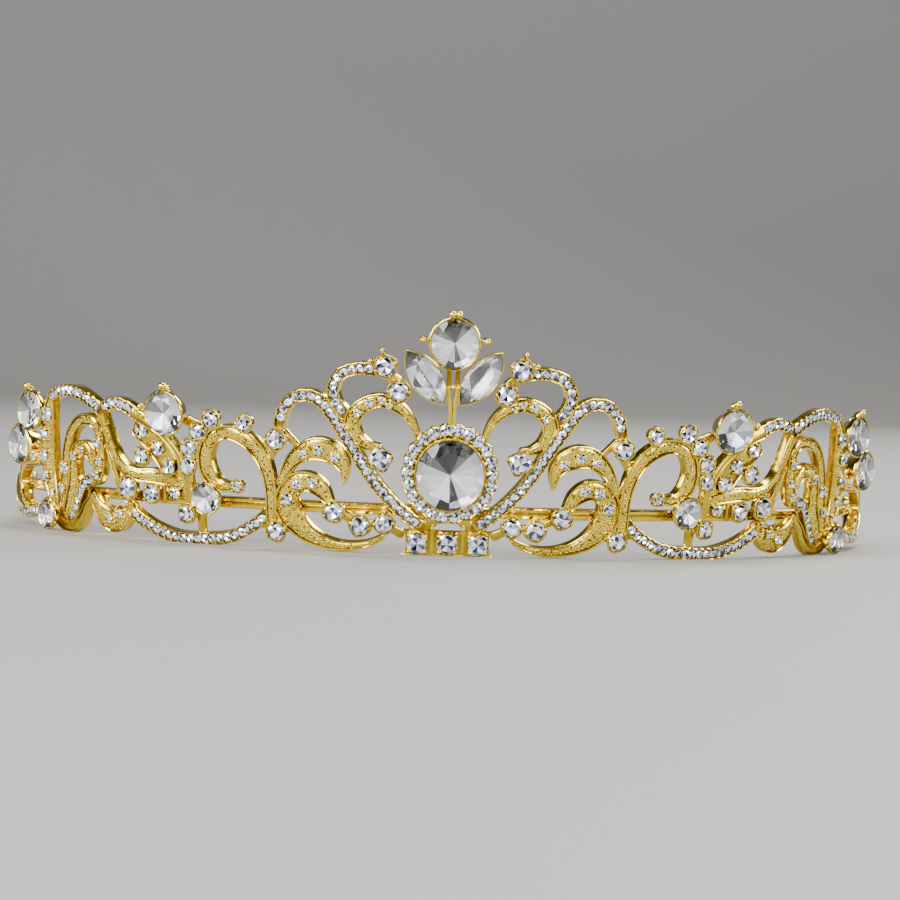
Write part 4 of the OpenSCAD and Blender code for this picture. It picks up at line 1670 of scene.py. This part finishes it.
@dataclass
class SeatedStones:
    """Stones set in the metal itself, or on low round seats. Rows hold s, v, diameter and height."""

    shop: Workshop
    foot: float = 0.3
    stone_lift: float = 0.1
    three_claws: float = 1.5
    chain: tuple[Row, ...] = (
        (39.9, 21.3, 2.9, 1.75), (42.3, 19.1, 2.9, 1.75), (43.9, 16.3, 2.95, 1.75), (44.1, 13.3, 2.75, 1.75),
    )
    wing_seats: tuple[Row, ...] = (
        (53.9, 14.4, 2.9, 1.75), (51.5, 8.2, 3.0, 1.75), (57.0, 8.9, 3.6, 1.75), (44.0, 5.3, 2.8, 1.9),
        (34.6, 10.4, 1.9, 1.9),
    )
    side_seats: tuple[Row, ...] = ((88.6, 12.6, 1.9, 1.75),)
    panel: tuple[Row, ...] = (
        (14.9, 23.4, 1.4, 1.45), (13.0, 25.1, 1.5, 1.45), (11.1, 25.6, 1.3, 1.45), (9.9, 24.8, 1.1, 1.45),
        (23.6, 16.3, 1.7, 1.6), (21.0, 17.0, 1.8, 1.6), (18.2, 15.9, 1.7, 1.6), (26.1, 8.6, 2.1, 1.45),
        (24.4, 11.2, 1.9, 1.45), (21.9, 11.5, 1.8, 1.45),
    )
    wing: tuple[Row, ...] = (
        (54.6, 18.6, 2.6, 1.15), (50.8, 15.8, 2.8, 1.15), (48.0, 12.9, 2.8, 1.6), (46.6, 8.5, 2.2, 1.6),
        (57.6, 6.2, 1.2, 1.45),
    )
    sides: tuple[Row, ...] = (
        (65.3, 16.1, 1.9, 1.3), (64.9, 12.8, 1.8, 1.3), (65.6, 10.4, 1.7, 1.3), (71.7, 13.4, 1.8, 1.75),
        (69.2, 14.8, 1.3, 1.75), (75.1, 11.2, 2.4, 1.6), (76.0, 7.6, 1.9, 1.6), (82.6, 20.2, 2.9, 1.45),
        (84.0, 16.6, 2.6, 1.45), (83.8, 12.9, 2.5, 1.45), (82.6, 9.3, 2.1, 1.45), (80.2, 6.4, 1.6, 1.45),
        (59.4, 4.2, 1.7, 1.3), (62.0, 3.2, 1.8, 1.3),
    )

    def build(self) -> None:
        """Builds the seats, the claws and the stones."""
        seats, claws = Seats(), Seats()
        groups = {
            "panel": (self.panel, ()),
            "chain": ((), self.chain),
            "wing": (self.wing, self.wing_seats),
            "side": (self.sides, self.side_seats),
        }
        for side in Side:
            for group, (flush, raised) in groups.items():
                stones = Seats()
                for s, v, d, h in flush + raised:
                    stones.add(on_side(side, s, v, h + self.stone_lift), d)
                for s, v, d, h in flush:
                    count = 4 if d > self.three_claws else 3
                    add_claws(claws, s, v, h + self.stone_lift, d - 0.1, 0.0, side, count)
                for s, v, d, h in raised:
                    seats.add(on_side(side, s, v, self.foot), (d + 0.05, d + 0.05, h - 0.2))
                    add_claws(claws, s, v, h + self.stone_lift, d, 0.0, side)
                names = f"{group}_stones_set_{side.word}", f"{group}_stones_{side.word}"
                self.shop.set_stones(stones, "chaton", *names, (7.0, 7.0, 40.0), len(flush))
        self.shop.set_metal(seats, "round_cup", "low_seats", cast=True)
        self.shop.set_metal(claws, "claw", "seat_claws")


# The great stones


def foil_faces(nearest: Sequence[int], tips: int) -> list[Face]:
    """Faces of a thin foil shell, the ones that show first.

    The shell's corners are the edge of its front, the edge of its back, the tips of its front and the tips
    of its back.

    Args:
        nearest: For each corner of the edge, the number of the tip that it is drawn to.
        tips: Number of tips.

    Returns:
        The faces of the front, and then those of the back and the edge.
    """
    count = len(nearest)
    faces = [(k, (k + 1) % count, 2 * count + tip) for k, tip in enumerate(nearest)]
    for k, tip in enumerate(nearest):
        n = (k + 1) % count
        faces += [(count + n, count + k, 2 * count + tips + tip), (k, count + k, count + n, n)]
    return faces


@dataclass(frozen=True)
class GreatStone:
    """A large stone: a clear cut body over a silver foil.

    Attributes:
        names: Name of the piece and of the CAD node that it stands for.
        d: Diameter.
        pattern: How bright the parts of its foil are painted, as painted reflections.
        sides: Number of sides of its table.
        shares: Radius of its edge, radius and height of its table and depth of its point, beside d.
        foil: Radius of its foil, beside d.
    """

    names: tuple[str, str]
    d: float
    pattern: FoilPattern
    sides: int = 8
    shares: Row = (0.5, 0.36, 0.12, 0.13)
    foil: float = 0.492

    def make(self, shop: Workshop, axes: Matrix) -> None:
        """Makes the stone.

        Args:
            shop: The workshop.
            axes: Place and direction of the stone's edge.
        """
        parts = MeshParts()
        corners, faces = cut_faces(self.sides, *(share * self.d for share in self.shares))
        parts.add(placed(axes, corners), faces)
        edge, point, count = self.foil * self.d, self.shares[-1] * self.d, 2 * self.sides
        corners = ring_of(edge, -0.035 * edge, count) + ring_of(edge, -0.07 * edge, count)
        corners += [Vector((0, 0, -point - 0.03)), Vector((0, 0, -point - 0.18))]
        # The foil's parts are painted bright or dark as painted reflections.
        lit = dict(enumerate(self.pattern.value))
        parts.add(placed(axes, corners), foil_faces([0] * count, 1), 1, lit)
        shop.make_clear(parts, *self.names)


@dataclass
class GreatStones:
    """The large cut stones in tall cups with ball prongs.

    The rows of prongs hold s, v and w of the ball, ds and dv of its post's foot, and its radius.
    """

    shop: Workshop
    wall: float = 0.26
    crest_v: float = 35.6
    crest_d: float = 7.6
    crest_h: float = 3.0
    crest_oval: float = 1.07
    cups: tuple[Cup, ...] = (
        Cup("wing_great", 48.2, 22.2, 7.0, 3.4, turn=8.0, yaw=6.0),
        Cup("wing_round", 40.2, 8.2, 5.0, 2.4, turn=11.0),
        Cup("side_upper", 88.4, 20.8, 6.6, 2.9, turn=-8.0, yaw=16.0, pattern=FoilPattern.HALVES),
        Cup("side_lower", 93.2, 14.6, 6.4, 3.3, turn=6.0, yaw=16.0, pattern=FoilPattern.HALVES),
        Cup("drop", 79.4, 2.9, 4.4, 3.0, turn=4.0, yaw=8.0, pattern=FoilPattern.HALVES),
    )
    prongs: tuple[Row, ...] = (
        (0.52, 40.4, 3.3, -0.1, -1.2, 0.6), (4.9, 36.1, 3.2, -1.2, 0.0, 0.56),
        (11.2, 34.0, 2.4, -0.2, -1.6, 0.42), (13.1, 32.2, 2.2, -1.2, -0.5, 0.36),
        (48.3, 26.8, 3.4, 0.0, -1.6, 0.66), (52.8, 23.2, 3.4, -1.4, -0.2, 0.5),
        (88.6, 25.0, 3.1, 0.0, -1.6, 0.62),
    )

    def build(self) -> None:
        """Builds the cups, the prongs and the stones."""
        cups = MeshParts()
        oval = upright_oval(self.crest_oval)
        self.add_cup(cups, FACE.stand(0.0, self.crest_v, 0.0) @ oval, self.crest_d, self.crest_h)
        crest = FACE.stand(0.0, self.crest_v, self.crest_h) @ oval
        names = "crest_crystal", "crest_stone"
        GreatStone(names, self.crest_d, FoilPattern.HOURGLASS).make(self.shop, crest)
        for side in Side:
            for cup in self.cups:
                self.add_cup(cups, cup.facing(side, 0.0), cup.d, cup.h)
                GreatStone(cup.names(side), cup.d, cup.pattern).make(self.shop, cup.facing(side, cup.h))
        self.shop.make(cups, "great_cups")
        self.make_prongs()

    def add_cup(self, parts: MeshParts, axes: Matrix, d: float, h: float) -> None:
        """Adds a tall cup with a rolled lip.

        Args:
            parts: Piece that the cup is added to.
            axes: Place and direction of its foot.
            d: Diameter of the stone.
            h: Height of the stone's edge.
        """
        r = d / 2 + 0.08
        lip = r + self.wall
        profile = [
            (0.0, 0.05),
            (r * 0.62, 0.05),
            (r * 0.7, 0.3),
            (r * 0.8, h * 0.45),
            (lip - 0.12, h - 0.75),
            (lip, h - 0.3),
            (lip + 0.02, h - 0.08),
            (lip - 0.1, h + 0.08),
            (r + 0.1, h + 0.12),
            (r, h + 0.04),
            (r * 0.9, h - 0.3),
            (r * 0.3, h - d * 0.27),
            (0.0, h - d * 0.29),
        ]
        parts.turned(profile, axes, 48, Metal.POLISHED)

    def make_prongs(self) -> None:
        """Makes the ball prongs with their little posts."""
        posts, balls = MeshParts(), Seats()
        for side in Side:
            for s, v, w, ds, dv, r in self.prongs:
                balls.add(on_side(side, s, v, w), r)
                spots = [
                    FACE.at(side.value * (s + ds * share), v + dv * share, w - sunk)
                    for share, sunk in ((1.0, 1.6), (0.25, 0.9), (0.0, 0.0))
                ]
                add_rod(posts, spots, [r * 1.3, r * 0.95, r * 0.6])
        metal = posts.to_object("prong_posts", self.shop.palette.metals, 60.0)
        round_ones = self.shop.seat(balls, "ball", "prong_balls", self.shop.palette.polished)
        settle(join_pieces("ball_prongs", [metal, round_ones]))


# The middle of the front


def boat_ring(length: float, width: float, z: float, half: int) -> list[Vector]:
    """A boat-shaped ring of corners: two arcs that meet in points.

    Args:
        length: Distance between its two points, on the x axis.
        width: Width in the middle.
        z: Height.
        half: Number of corners on each of its two arcs.

    Returns:
        The corners.
    """
    r = (length**2 + width**2) / (4 * width)
    reach = math.asin(length / 2 / r)
    bends = [reach * (1 - 2 * k / half) for k in range(half)]
    return [
        Vector((hand * r * math.sin(bend), hand * (r * math.cos(bend) - r + width / 2), z))
        for hand in (1, -1)
        for bend in bends
    ]


@dataclass
class Middle:
    """The large middle stone with its halo, the stem, the navettes and the base bar."""

    shop: Workshop
    centre_v: float = 13.95
    centre_d: float = 11.0
    oval: float = 1.055
    cup_h: float = 2.8
    halo_out: float = 7.75
    halo_ring: float = 6.8
    halo_h: float = 1.6
    halo_count: int = 22
    halo_d: float = 1.96
    scallop: float = 0.16
    navette_s: float = 4.3
    navette_v: float = 29.8
    navette_turn: float = 53.5
    navette_h: float = 2.2
    navette_l: float = 10.4
    navette_w: float = 4.9
    # How bright each pair of navette foil facets and each keel face is painted: painted reflections.
    boat_shades: tuple[float, ...] = (0.7, 0.3, 1.0, 0.12, 0.4, 1.0, 1.0, 0.55)
    boat_keel: tuple[float, float] = (0.1, 1.0)
    stem: tuple[Row, ...] = (
        (0.4, 20.8, 0.74), (0.32, 22.4, 0.64), (0.31, 24.2, 0.62), (0.42, 25.8, 0.66), (0.62, 27.0, 0.74),
        (0.7, 28.2, 0.7),
    )
    stem_back: tuple[Row, ...] = ((0.66, 27.6, 0.7), (0.75, 33.0, 0.8))
    base: tuple[Row, ...] = ((5.6, 4.3), (7.2, 4.35), (6.75, 3.6), (6.6, 2.2), (6.9, 0.55), (7.35, 0.0))
    arch: tuple[Row, ...] = (
        (-5.6, 4.4, 1.4), (-3.4, 6.0, 2.0), (0.0, 6.5, 2.0), (3.4, 6.0, 2.0), (5.6, 4.4, 1.4),
    )
    base_pitch: float = 4.8
    base_v: float = 2.2
    base_d: float = 3.2

    def build(self) -> None:
        """Builds every piece of the middle."""
        self.make_collar()
        centre = FACE.stand(0.0, self.centre_v, self.cup_h) @ upright_oval(self.oval)
        names = "centre_crystal", "centre_stone"
        GreatStone(names, self.centre_d, FoilPattern.BUTTERFLY).make(self.shop, centre)
        self.make_halo()
        self.make_navettes()
        self.make_stem()
        self.make_base()

    def collar_profile(self, turn: float) -> Outline:
        """The outline of the scalloped plate and the middle stone's cup at a turn.

        Args:
            turn: The turn in radians.

        Returns:
            Radius and height pairs in millimetres, from the back to the bed of the stone.
        """
        scallop = self.scallop * math.cos(turn * self.halo_count)
        out, r, top, cup = self.halo_out, self.centre_d / 2, self.halo_h, self.cup_h
        return [
            (0.0, 0.1),
            (out - 1.1, 0.1),
            (out - 0.9, 0.1),
            (out - 0.25 + scallop, 0.35),
            (out + scallop, 0.9),
            (out + scallop, top + 0.1),
            (out - 0.1 + scallop, top + 0.24),
            (out - 0.26 + scallop * 0.8, top + 0.16),
            (out - 0.32 + scallop * 0.6, top - 0.12),
            (r + 0.36, top - 0.12),
            (r + 0.28, top + 0.4),
            (r + 0.22, cup - 0.15),
            (r + 0.16, cup - 0.02),
            (r + 0.08, cup - 0.02),
            (r + 0.08, cup - 0.2),
            (0.0, cup - self.centre_d * 0.24),
        ]

    def make_collar(self) -> None:
        """Makes the scalloped plate under the halo, with the cup of the middle stone."""
        parts = MeshParts()
        axes = FACE.stand(0.0, self.centre_v, 0.0) @ upright_oval(self.oval)
        rings = [
            placed(axes, [spoke(turn, r, z) for r, z in self.collar_profile(turn)])
            for turn in turns(self.halo_count * 8)
        ]
        finishes = [Metal.RECESS] * 2 + [Metal.CAST] * 2 + [Metal.POLISHED] * 4 + [Metal.RECESS, Metal.CAST]
        parts.loft(rings, finishes + [Metal.POLISHED] * 4 + [Metal.RECESS] * 2, looped=True)
        self.shop.make(parts, "halo_collar")

    def on_ring(self, reach: float, turn: float, w: float) -> Matrix:
        """The axes of a place on an oval round the middle stone, at a turn in radians."""
        shift = upright_oval(self.oval) @ (spoke(turn, reach) * MM)
        return FACE.stand(0.0, self.centre_v, w) @ Matrix.Translation(shift) @ Matrix.Rotation(turn, 4, "Z")

    def make_halo(self) -> None:
        """Makes the ring of small stones and the grains between them."""
        stones, grains = Seats(), Seats()
        size = (self.halo_d + 0.1, self.halo_d * 1.03, self.halo_d)
        for turn in turns(self.halo_count):
            stones.add(self.on_ring(self.halo_ring, turn, self.halo_h + 0.12), size)
            for reach in (self.halo_ring + 0.72, self.halo_ring - 0.68):
                grains.add(self.on_ring(reach, turn + math.pi / self.halo_count, self.halo_h + 0.16), 0.2)
        self.shop.set_stones(stones, "chaton", "halo_set", "halo_stones", (9.0, 9.0, 12.0), 11)
        self.shop.set_metal(grains, "bead", "halo_grains")

    def make_navettes(self) -> None:
        """Makes the two navettes and their cups."""
        cups = MeshParts()
        length, width, h = self.navette_l, self.navette_w, self.navette_h
        shell = (
            (length - 1.6, width * 0.6, 0.1),
            (length - 0.6, width * 0.85, 0.9),
            (length + 0.6, width + 0.4, h - 0.35),
            (length + 0.7, width + 0.46, h - 0.05),
            (length + 0.55, width + 0.36, h + 0.08),
            (length + 0.2, width + 0.12, h + 0.08),
            (length + 0.06, width, h - 0.15),
            (length * 0.4, width * 0.3, h - 1.4),
        )
        body = (
            (length * 0.3, 0.3, -0.8),
            (length - 0.05, width - 0.05, -0.08),
            (length, width, 0.05),
            (length * 0.86, width * 0.78, 0.42),
            (length * 0.68, width * 0.52, 0.66),
        )
        for side in Side:
            turn = self.navette_turn if side is Side.RIGHT else 180.0 - self.navette_turn
            foot, seat = (FACE.stand(side.value * self.navette_s, self.navette_v, w, turn) for w in (0.0, h))
            cups.loft([placed(foot, boat_ring(*row, 12)) for row in shell], Metal.POLISHED)
            claw = ((3.0, 26.6, h - 0.6), (3.12, 26.15, h - 0.45), (3.24, 25.7, h - 0.3))
            add_rod(cups, [FACE.at(side.value * s, v, w) for s, v, w in claw], [0.42, 0.3, 0.14])
            stone = MeshParts()
            stone.loft([placed(seat, boat_ring(*row, 8)) for row in body])
            self.add_boat_foil(stone, seat, side)
            self.shop.make_clear(stone, f"navette_crystal_{side.word}", f"navette_stone_{side.word}")
        self.shop.make(cups, "navette_cups")

    def add_boat_foil(self, stone: MeshParts, seat: Matrix, side: Side) -> None:
        """Adds the foil behind a navette: long facets, painted bright or dark as painted reflections, that
        meet in two places on its long axis.

        Args:
            stone: The stone that it is added to.
            seat: Place and direction of the stone's edge.
            side: Half of the tiara.
        """
        length, width = self.navette_l - 0.14, self.navette_w - 0.14
        corners = boat_ring(length, width, -0.16, 8) + boat_ring(length, width, -0.24, 8)
        corners += [Vector((length * x, 0.0, z)) for z in (-0.95, -1.08) for x in (-0.24, 0.24)]
        # Painted reflections, swapped round for the left navette.
        shades = self.boat_shades if side is Side.RIGHT else self.boat_shades[4:] + self.boat_shades[:4]
        lit = {k: shades[k // 2] for k in range(16)}
        faces = foil_faces([1] * 4 + [0] * 8 + [1] * 4, 2)
        for middle, share in zip((4, 12), self.boat_keel):
            lit[len(faces)] = share
            faces += [(middle, 32, 33), (16 + middle, 35, 34)]
        stone.add(placed(seat, corners), faces, 1, lit)

    def make_stem(self) -> None:
        """Makes the two wires that rise from the halo and fork under the navettes."""
        parts, bead = MeshParts(), Seats()
        for side in Side:
            sweep(parts, FacePath(self.stem, pitch=0.3), side, wire_section(-0.1, 1.7), Metal.POLISHED)
            sweep(parts, FacePath(self.stem_back), side, wire_section(-0.1, 0.8), Metal.RECESS)
        bead.add(FACE.stand(0.0, 28.2, 1.6), 0.5)
        wires = parts.to_object("stem_wires", self.shop.palette.metals)
        ball = self.shop.seat(bead, "ball", "stem_bead", self.shop.palette.polished)
        settle(join_pieces("stem", [wires, ball]))

    def make_base(self) -> None:
        """Makes the base bar with flared corners, its three square cups and the arch above it."""
        parts = MeshParts()
        outline = [(-s, v) for s, v in reversed(self.base)] + list(self.base)
        rings = []
        for w, share in ((0.25, 0.96), (0.35, 1.0), (0.85, 1.0), (0.95, 0.96)):
            low = (1 - share) * self.base_v
            rings.append([FACE.at(s * share, max(v * share + low, 0.06), w) for s, v in outline])
        parts.loft(rings, Metal.CAST)
        sweep(parts, FacePath(self.arch), Side.RIGHT, wire_section(-0.1, 0.98), Metal.RECESS)
        for s in (-self.base_pitch / 2, self.base_pitch / 2):
            bar = FacePath(((s, 0.8, 0.7), (s, 4.9, 0.7)))
            sweep(parts, bar, Side.RIGHT, wire_section(0.3, 1.7), Metal.POLISHED)
        self.shop.make(parts, "base_bar")
        cups, stones, claws = Seats(), Seats(), Seats()
        for s in (-self.base_pitch, 0.0, self.base_pitch):
            cups.add(FACE.stand(s, self.base_v, 0.3), (self.base_d + 0.1, self.base_d + 0.1, 1.25))
            stones.add(FACE.stand(s, self.base_v, 1.4), self.base_d)
            add_claws(claws, s, self.base_v, 1.45, self.base_d + 0.7, 0.0, Side.RIGHT)
        self.shop.set_metal(cups, "square_cup", "base_cups")
        self.shop.set_metal(claws, "claw", "base_claws")
        self.shop.set_stones(stones, "cushion", "base_set", "base_stones", (4.0, 4.0, 3.0), 5)


# The headband


@dataclass
class Headband:
    """The springy band behind the scrollwork, with its knots and eyelets."""

    shop: Workshop
    low: float = 6.2
    height: float = 1.8
    thick: float = 1.3
    off: float = 0.3
    reach: int = 151
    fall_start: float = 117.0
    eyelet_l: float = 8.0
    eyelet_h: float = 4.4
    knot_s: float = 116.0
    posts: tuple[float, ...] = (7.2, 26.2, 43.7, 58.3, 75.8, 98.4)
    post: tuple[Row, ...] = ((0.0, 0.0), (0.8, 0.0), (0.6, 0.4), (0.75, 1.1), (0.0, 1.1))
    knot: tuple[Row, ...] = (
        (0.0, -0.25), (0.8, -0.2), (1.35, 0.2), (1.68, 0.8), (1.7, 1.4), (1.45, 2.0), (0.9, 2.55),
        (0.0, 2.75),
    )

    @property
    def middle(self) -> float:
        """Height of the band's middle line on the face."""
        return self.low + self.height / 2

    @property
    def eyelet_v(self) -> float:
        """Height of the eyelet's middle on the face."""
        return self.eyelet_h / 2 - 0.1

    def line(self, s: float) -> float:
        """Height of the band's middle line at s."""
        share = max(0.0, abs(s) - self.fall_start) / (self.reach - self.fall_start)
        return self.middle + (self.eyelet_v - self.middle) * (1 - math.cos(math.pi * share)) / 2

    def outline(self, half: float, run: float) -> Outline:
        """The outline of the band: a flat strip with a groove along its front.

        Args:
            half: Half the height of the band.
            run: Distance along the band, which changes nothing.

        Returns:
            The outline.
        """
        back, front = -self.off - self.thick, -self.off
        flank = [(half - 0.2, back), (half, back + 0.2), (half, front - 0.2), (half - 0.2, front)]
        return mirrored(flank + [(0.28, front), (0.1, front - 0.22)])

    def build(self) -> None:
        """Builds the band, its posts, the knots and the eyelets."""
        parts, knots = MeshParts(), MeshParts()
        rows = [(s, self.line(s), self.height) for s in range(-self.reach, self.reach + 1, 2)]
        finishes = [Metal.POLISHED] * 6 + [Metal.RECESS] + [Metal.POLISHED] * 5
        sweep(parts, FacePath(rows, pitch=1.0), Side.RIGHT, self.outline, finishes)
        for side in Side:
            for s in self.posts:
                parts.turned(self.post, on_side(side, s, self.middle, -self.off - 0.4), 16, Metal.CAST)
            self.add_eyelet(parts, side)
            knot = on_side(side, self.knot_s, self.middle, -self.off - self.thick)
            knots.turned(self.knot, knot, 28, Metal.GRAINED)
        self.shop.make(parts, "headband_strip")
        self.shop.make(knots, "solder_knots")

    def add_eyelet(self, parts: MeshParts, side: Side) -> None:
        """Adds the flat oval ring at the end of an arm.

        Args:
            parts: Piece that the ring is added to.
            side: Half of the tiara.
        """
        axes = on_side(side, self.reach + self.eyelet_l / 2 - 0.8, self.eyelet_v, -self.off - self.thick / 2)
        long_r, short_r = self.eyelet_l / 2 - 0.75, self.eyelet_h / 2 - 0.55
        rings = []
        for turn in turns(48):
            x, y, _ = spoke(turn)
            middle = Vector((long_r * x, short_r * y, 0.0))
            away = Vector((x / long_r, y / short_r, 0.0)).normalized() * (0.55 + 0.2 * abs(x))
            wire = [middle + away * a + Vector((0, 0, 0.45 * b)) for a, b, _ in ring_of(1.0, 0.0, 10)]
            rings.append(placed(axes, wire))
        parts.loft(rings, Metal.CAST, looped=True)


# The studio


@dataclass
class Studio:
    """A pale floor, soft light and the camera. Lights have a place, a size, a power and a colour."""

    palette: Palette
    distance: float = 620.0
    view_angle: float = 13.35
    floor_front: float = -1.6
    floor_half: float = 2.2
    wall_start: float = 0.9
    wall_bend: float = 0.4
    wall_top: float = 1.6
    azimuth: float = -1.4
    elevation: float = 2.0
    roll: float = 1.9
    target: Row = (0.0, -50.0, 17.0)
    aim: Row = (0.0, -0.02, 0.02)
    room: Row = (0.66, 0.68, 0.7, 1.0)
    room_strength: float = 0.05
    lights: tuple[tuple[str, Row, Row, float, Colour], ...] = (
        ("key", (-0.55, -0.75, 0.62), (0.62, 0.62), 19.0, (1.0, 0.98, 0.95)),
        ("low_left", (-0.6, -0.66, 0.2), (0.3, 0.32), 4.2, (1.0, 1.0, 1.0)),
        ("low_right", (0.6, -0.66, 0.22), (0.3, 0.32), 4.0, (0.97, 0.99, 1.0)),
        ("low_front", (0.1, -1.0, 0.16), (0.42, 0.2), 3.8, (1.0, 1.0, 1.0)),
        ("side_left", (-0.85, -0.08, 0.3), (0.18, 0.42), 5.6, (1.0, 0.98, 0.95)),
        ("side_right", (0.85, -0.12, 0.28), (0.18, 0.42), 5.6, (0.95, 0.98, 1.0)),
        ("top", (0.1, 0.1, 0.85), (0.6, 0.2), 8.0, (1.0, 1.0, 1.0)),
        ("rim", (0.45, 0.62, 0.5), (0.3, 0.3), 8.0, (1.0, 0.96, 0.9)),
    )

    def build(self) -> None:
        """Builds the studio."""
        self.make_floor()
        self.make_lights()
        self.make_camera()

    def make_floor(self) -> None:
        """Makes a floor that rises behind the tiara."""
        start, bend, half = self.wall_start, self.wall_bend, self.floor_half
        turns_up = [math.pi * k / 24 for k in range(13)]
        curve = [(start + bend * math.sin(turn), bend * (1 - math.cos(turn))) for turn in turns_up]
        rows = [(self.floor_front, 0.0), *curve, (start + bend, self.wall_top)]
        mesh = bpy.data.meshes.new("pale_floor")
        corners = [(x, y, z) for y, z in rows for x in (-half, half)]
        mesh.from_pydata(corners, [], [(k, k + 1, k + 3, k + 2) for k in range(0, len(corners) - 2, 2)])
        mesh.materials.append(self.palette.floor)
        mesh.polygons.foreach_set("use_smooth", [True] * len(mesh.polygons))
        linked("pale_floor", mesh)

    def make_lights(self) -> None:
        """Makes the soft boxes and the dim room."""
        for name, place, size, power, colour in self.lights:
            lamp = bpy.data.lights.new(name, "AREA")
            lamp.shape = "RECTANGLE"
            lamp.size, lamp.size_y = size
            lamp.energy, lamp.color = power, colour
            holder = linked(name, lamp)
            holder.location = place
            holder.rotation_euler = (Vector(self.aim) - Vector(place)).to_track_quat("-Z", "Y").to_euler()
        world = bpy.data.worlds.new("room")
        world.use_nodes = True
        inputs = world.node_tree.nodes["Background"].inputs
        inputs["Color"].default_value, inputs["Strength"].default_value = self.room, self.room_strength
        bpy.context.scene.world = world

    def make_camera(self) -> None:
        """Makes the camera at the photograph's angle, raised above the floor."""
        data = bpy.data.cameras.new("camera")
        data.lens_unit = "FOV"
        data.angle = math.radians(self.view_angle)
        data.clip_start, data.clip_end = 0.01, 20.0
        camera = linked("camera", data)
        rise = math.radians(self.elevation)
        back = spoke(math.radians(self.azimuth - 90.0), math.cos(rise), math.sin(rise))
        camera.location = (Vector(self.target) + back * self.distance) * MM
        look = (-back).to_track_quat("-Z", "Y").to_matrix().to_4x4()
        camera.rotation_euler = (look @ Matrix.Rotation(math.radians(self.roll), 4, "Z")).to_euler()
        bpy.context.scene.camera = camera


def main() -> None:
    """Builds the tiara and the studio."""
    logging.basicConfig(level=logging.INFO, format="%(message)s")
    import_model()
    palette = Palette()
    shop = Workshop(palette, seating_tree(), scattering_tree(), make_shapes())
    Channels(shop).build()
    for group in scroll_groups(shop):
        group.build()
    SmallCups(shop).build()
    SeatedStones(shop).build()
    GreatStones(shop).build()
    Middle(shop).build()
    Headband(shop).build()
    shop.clear()
    Studio(palette).build()


if __name__ == "__main__":
    main()
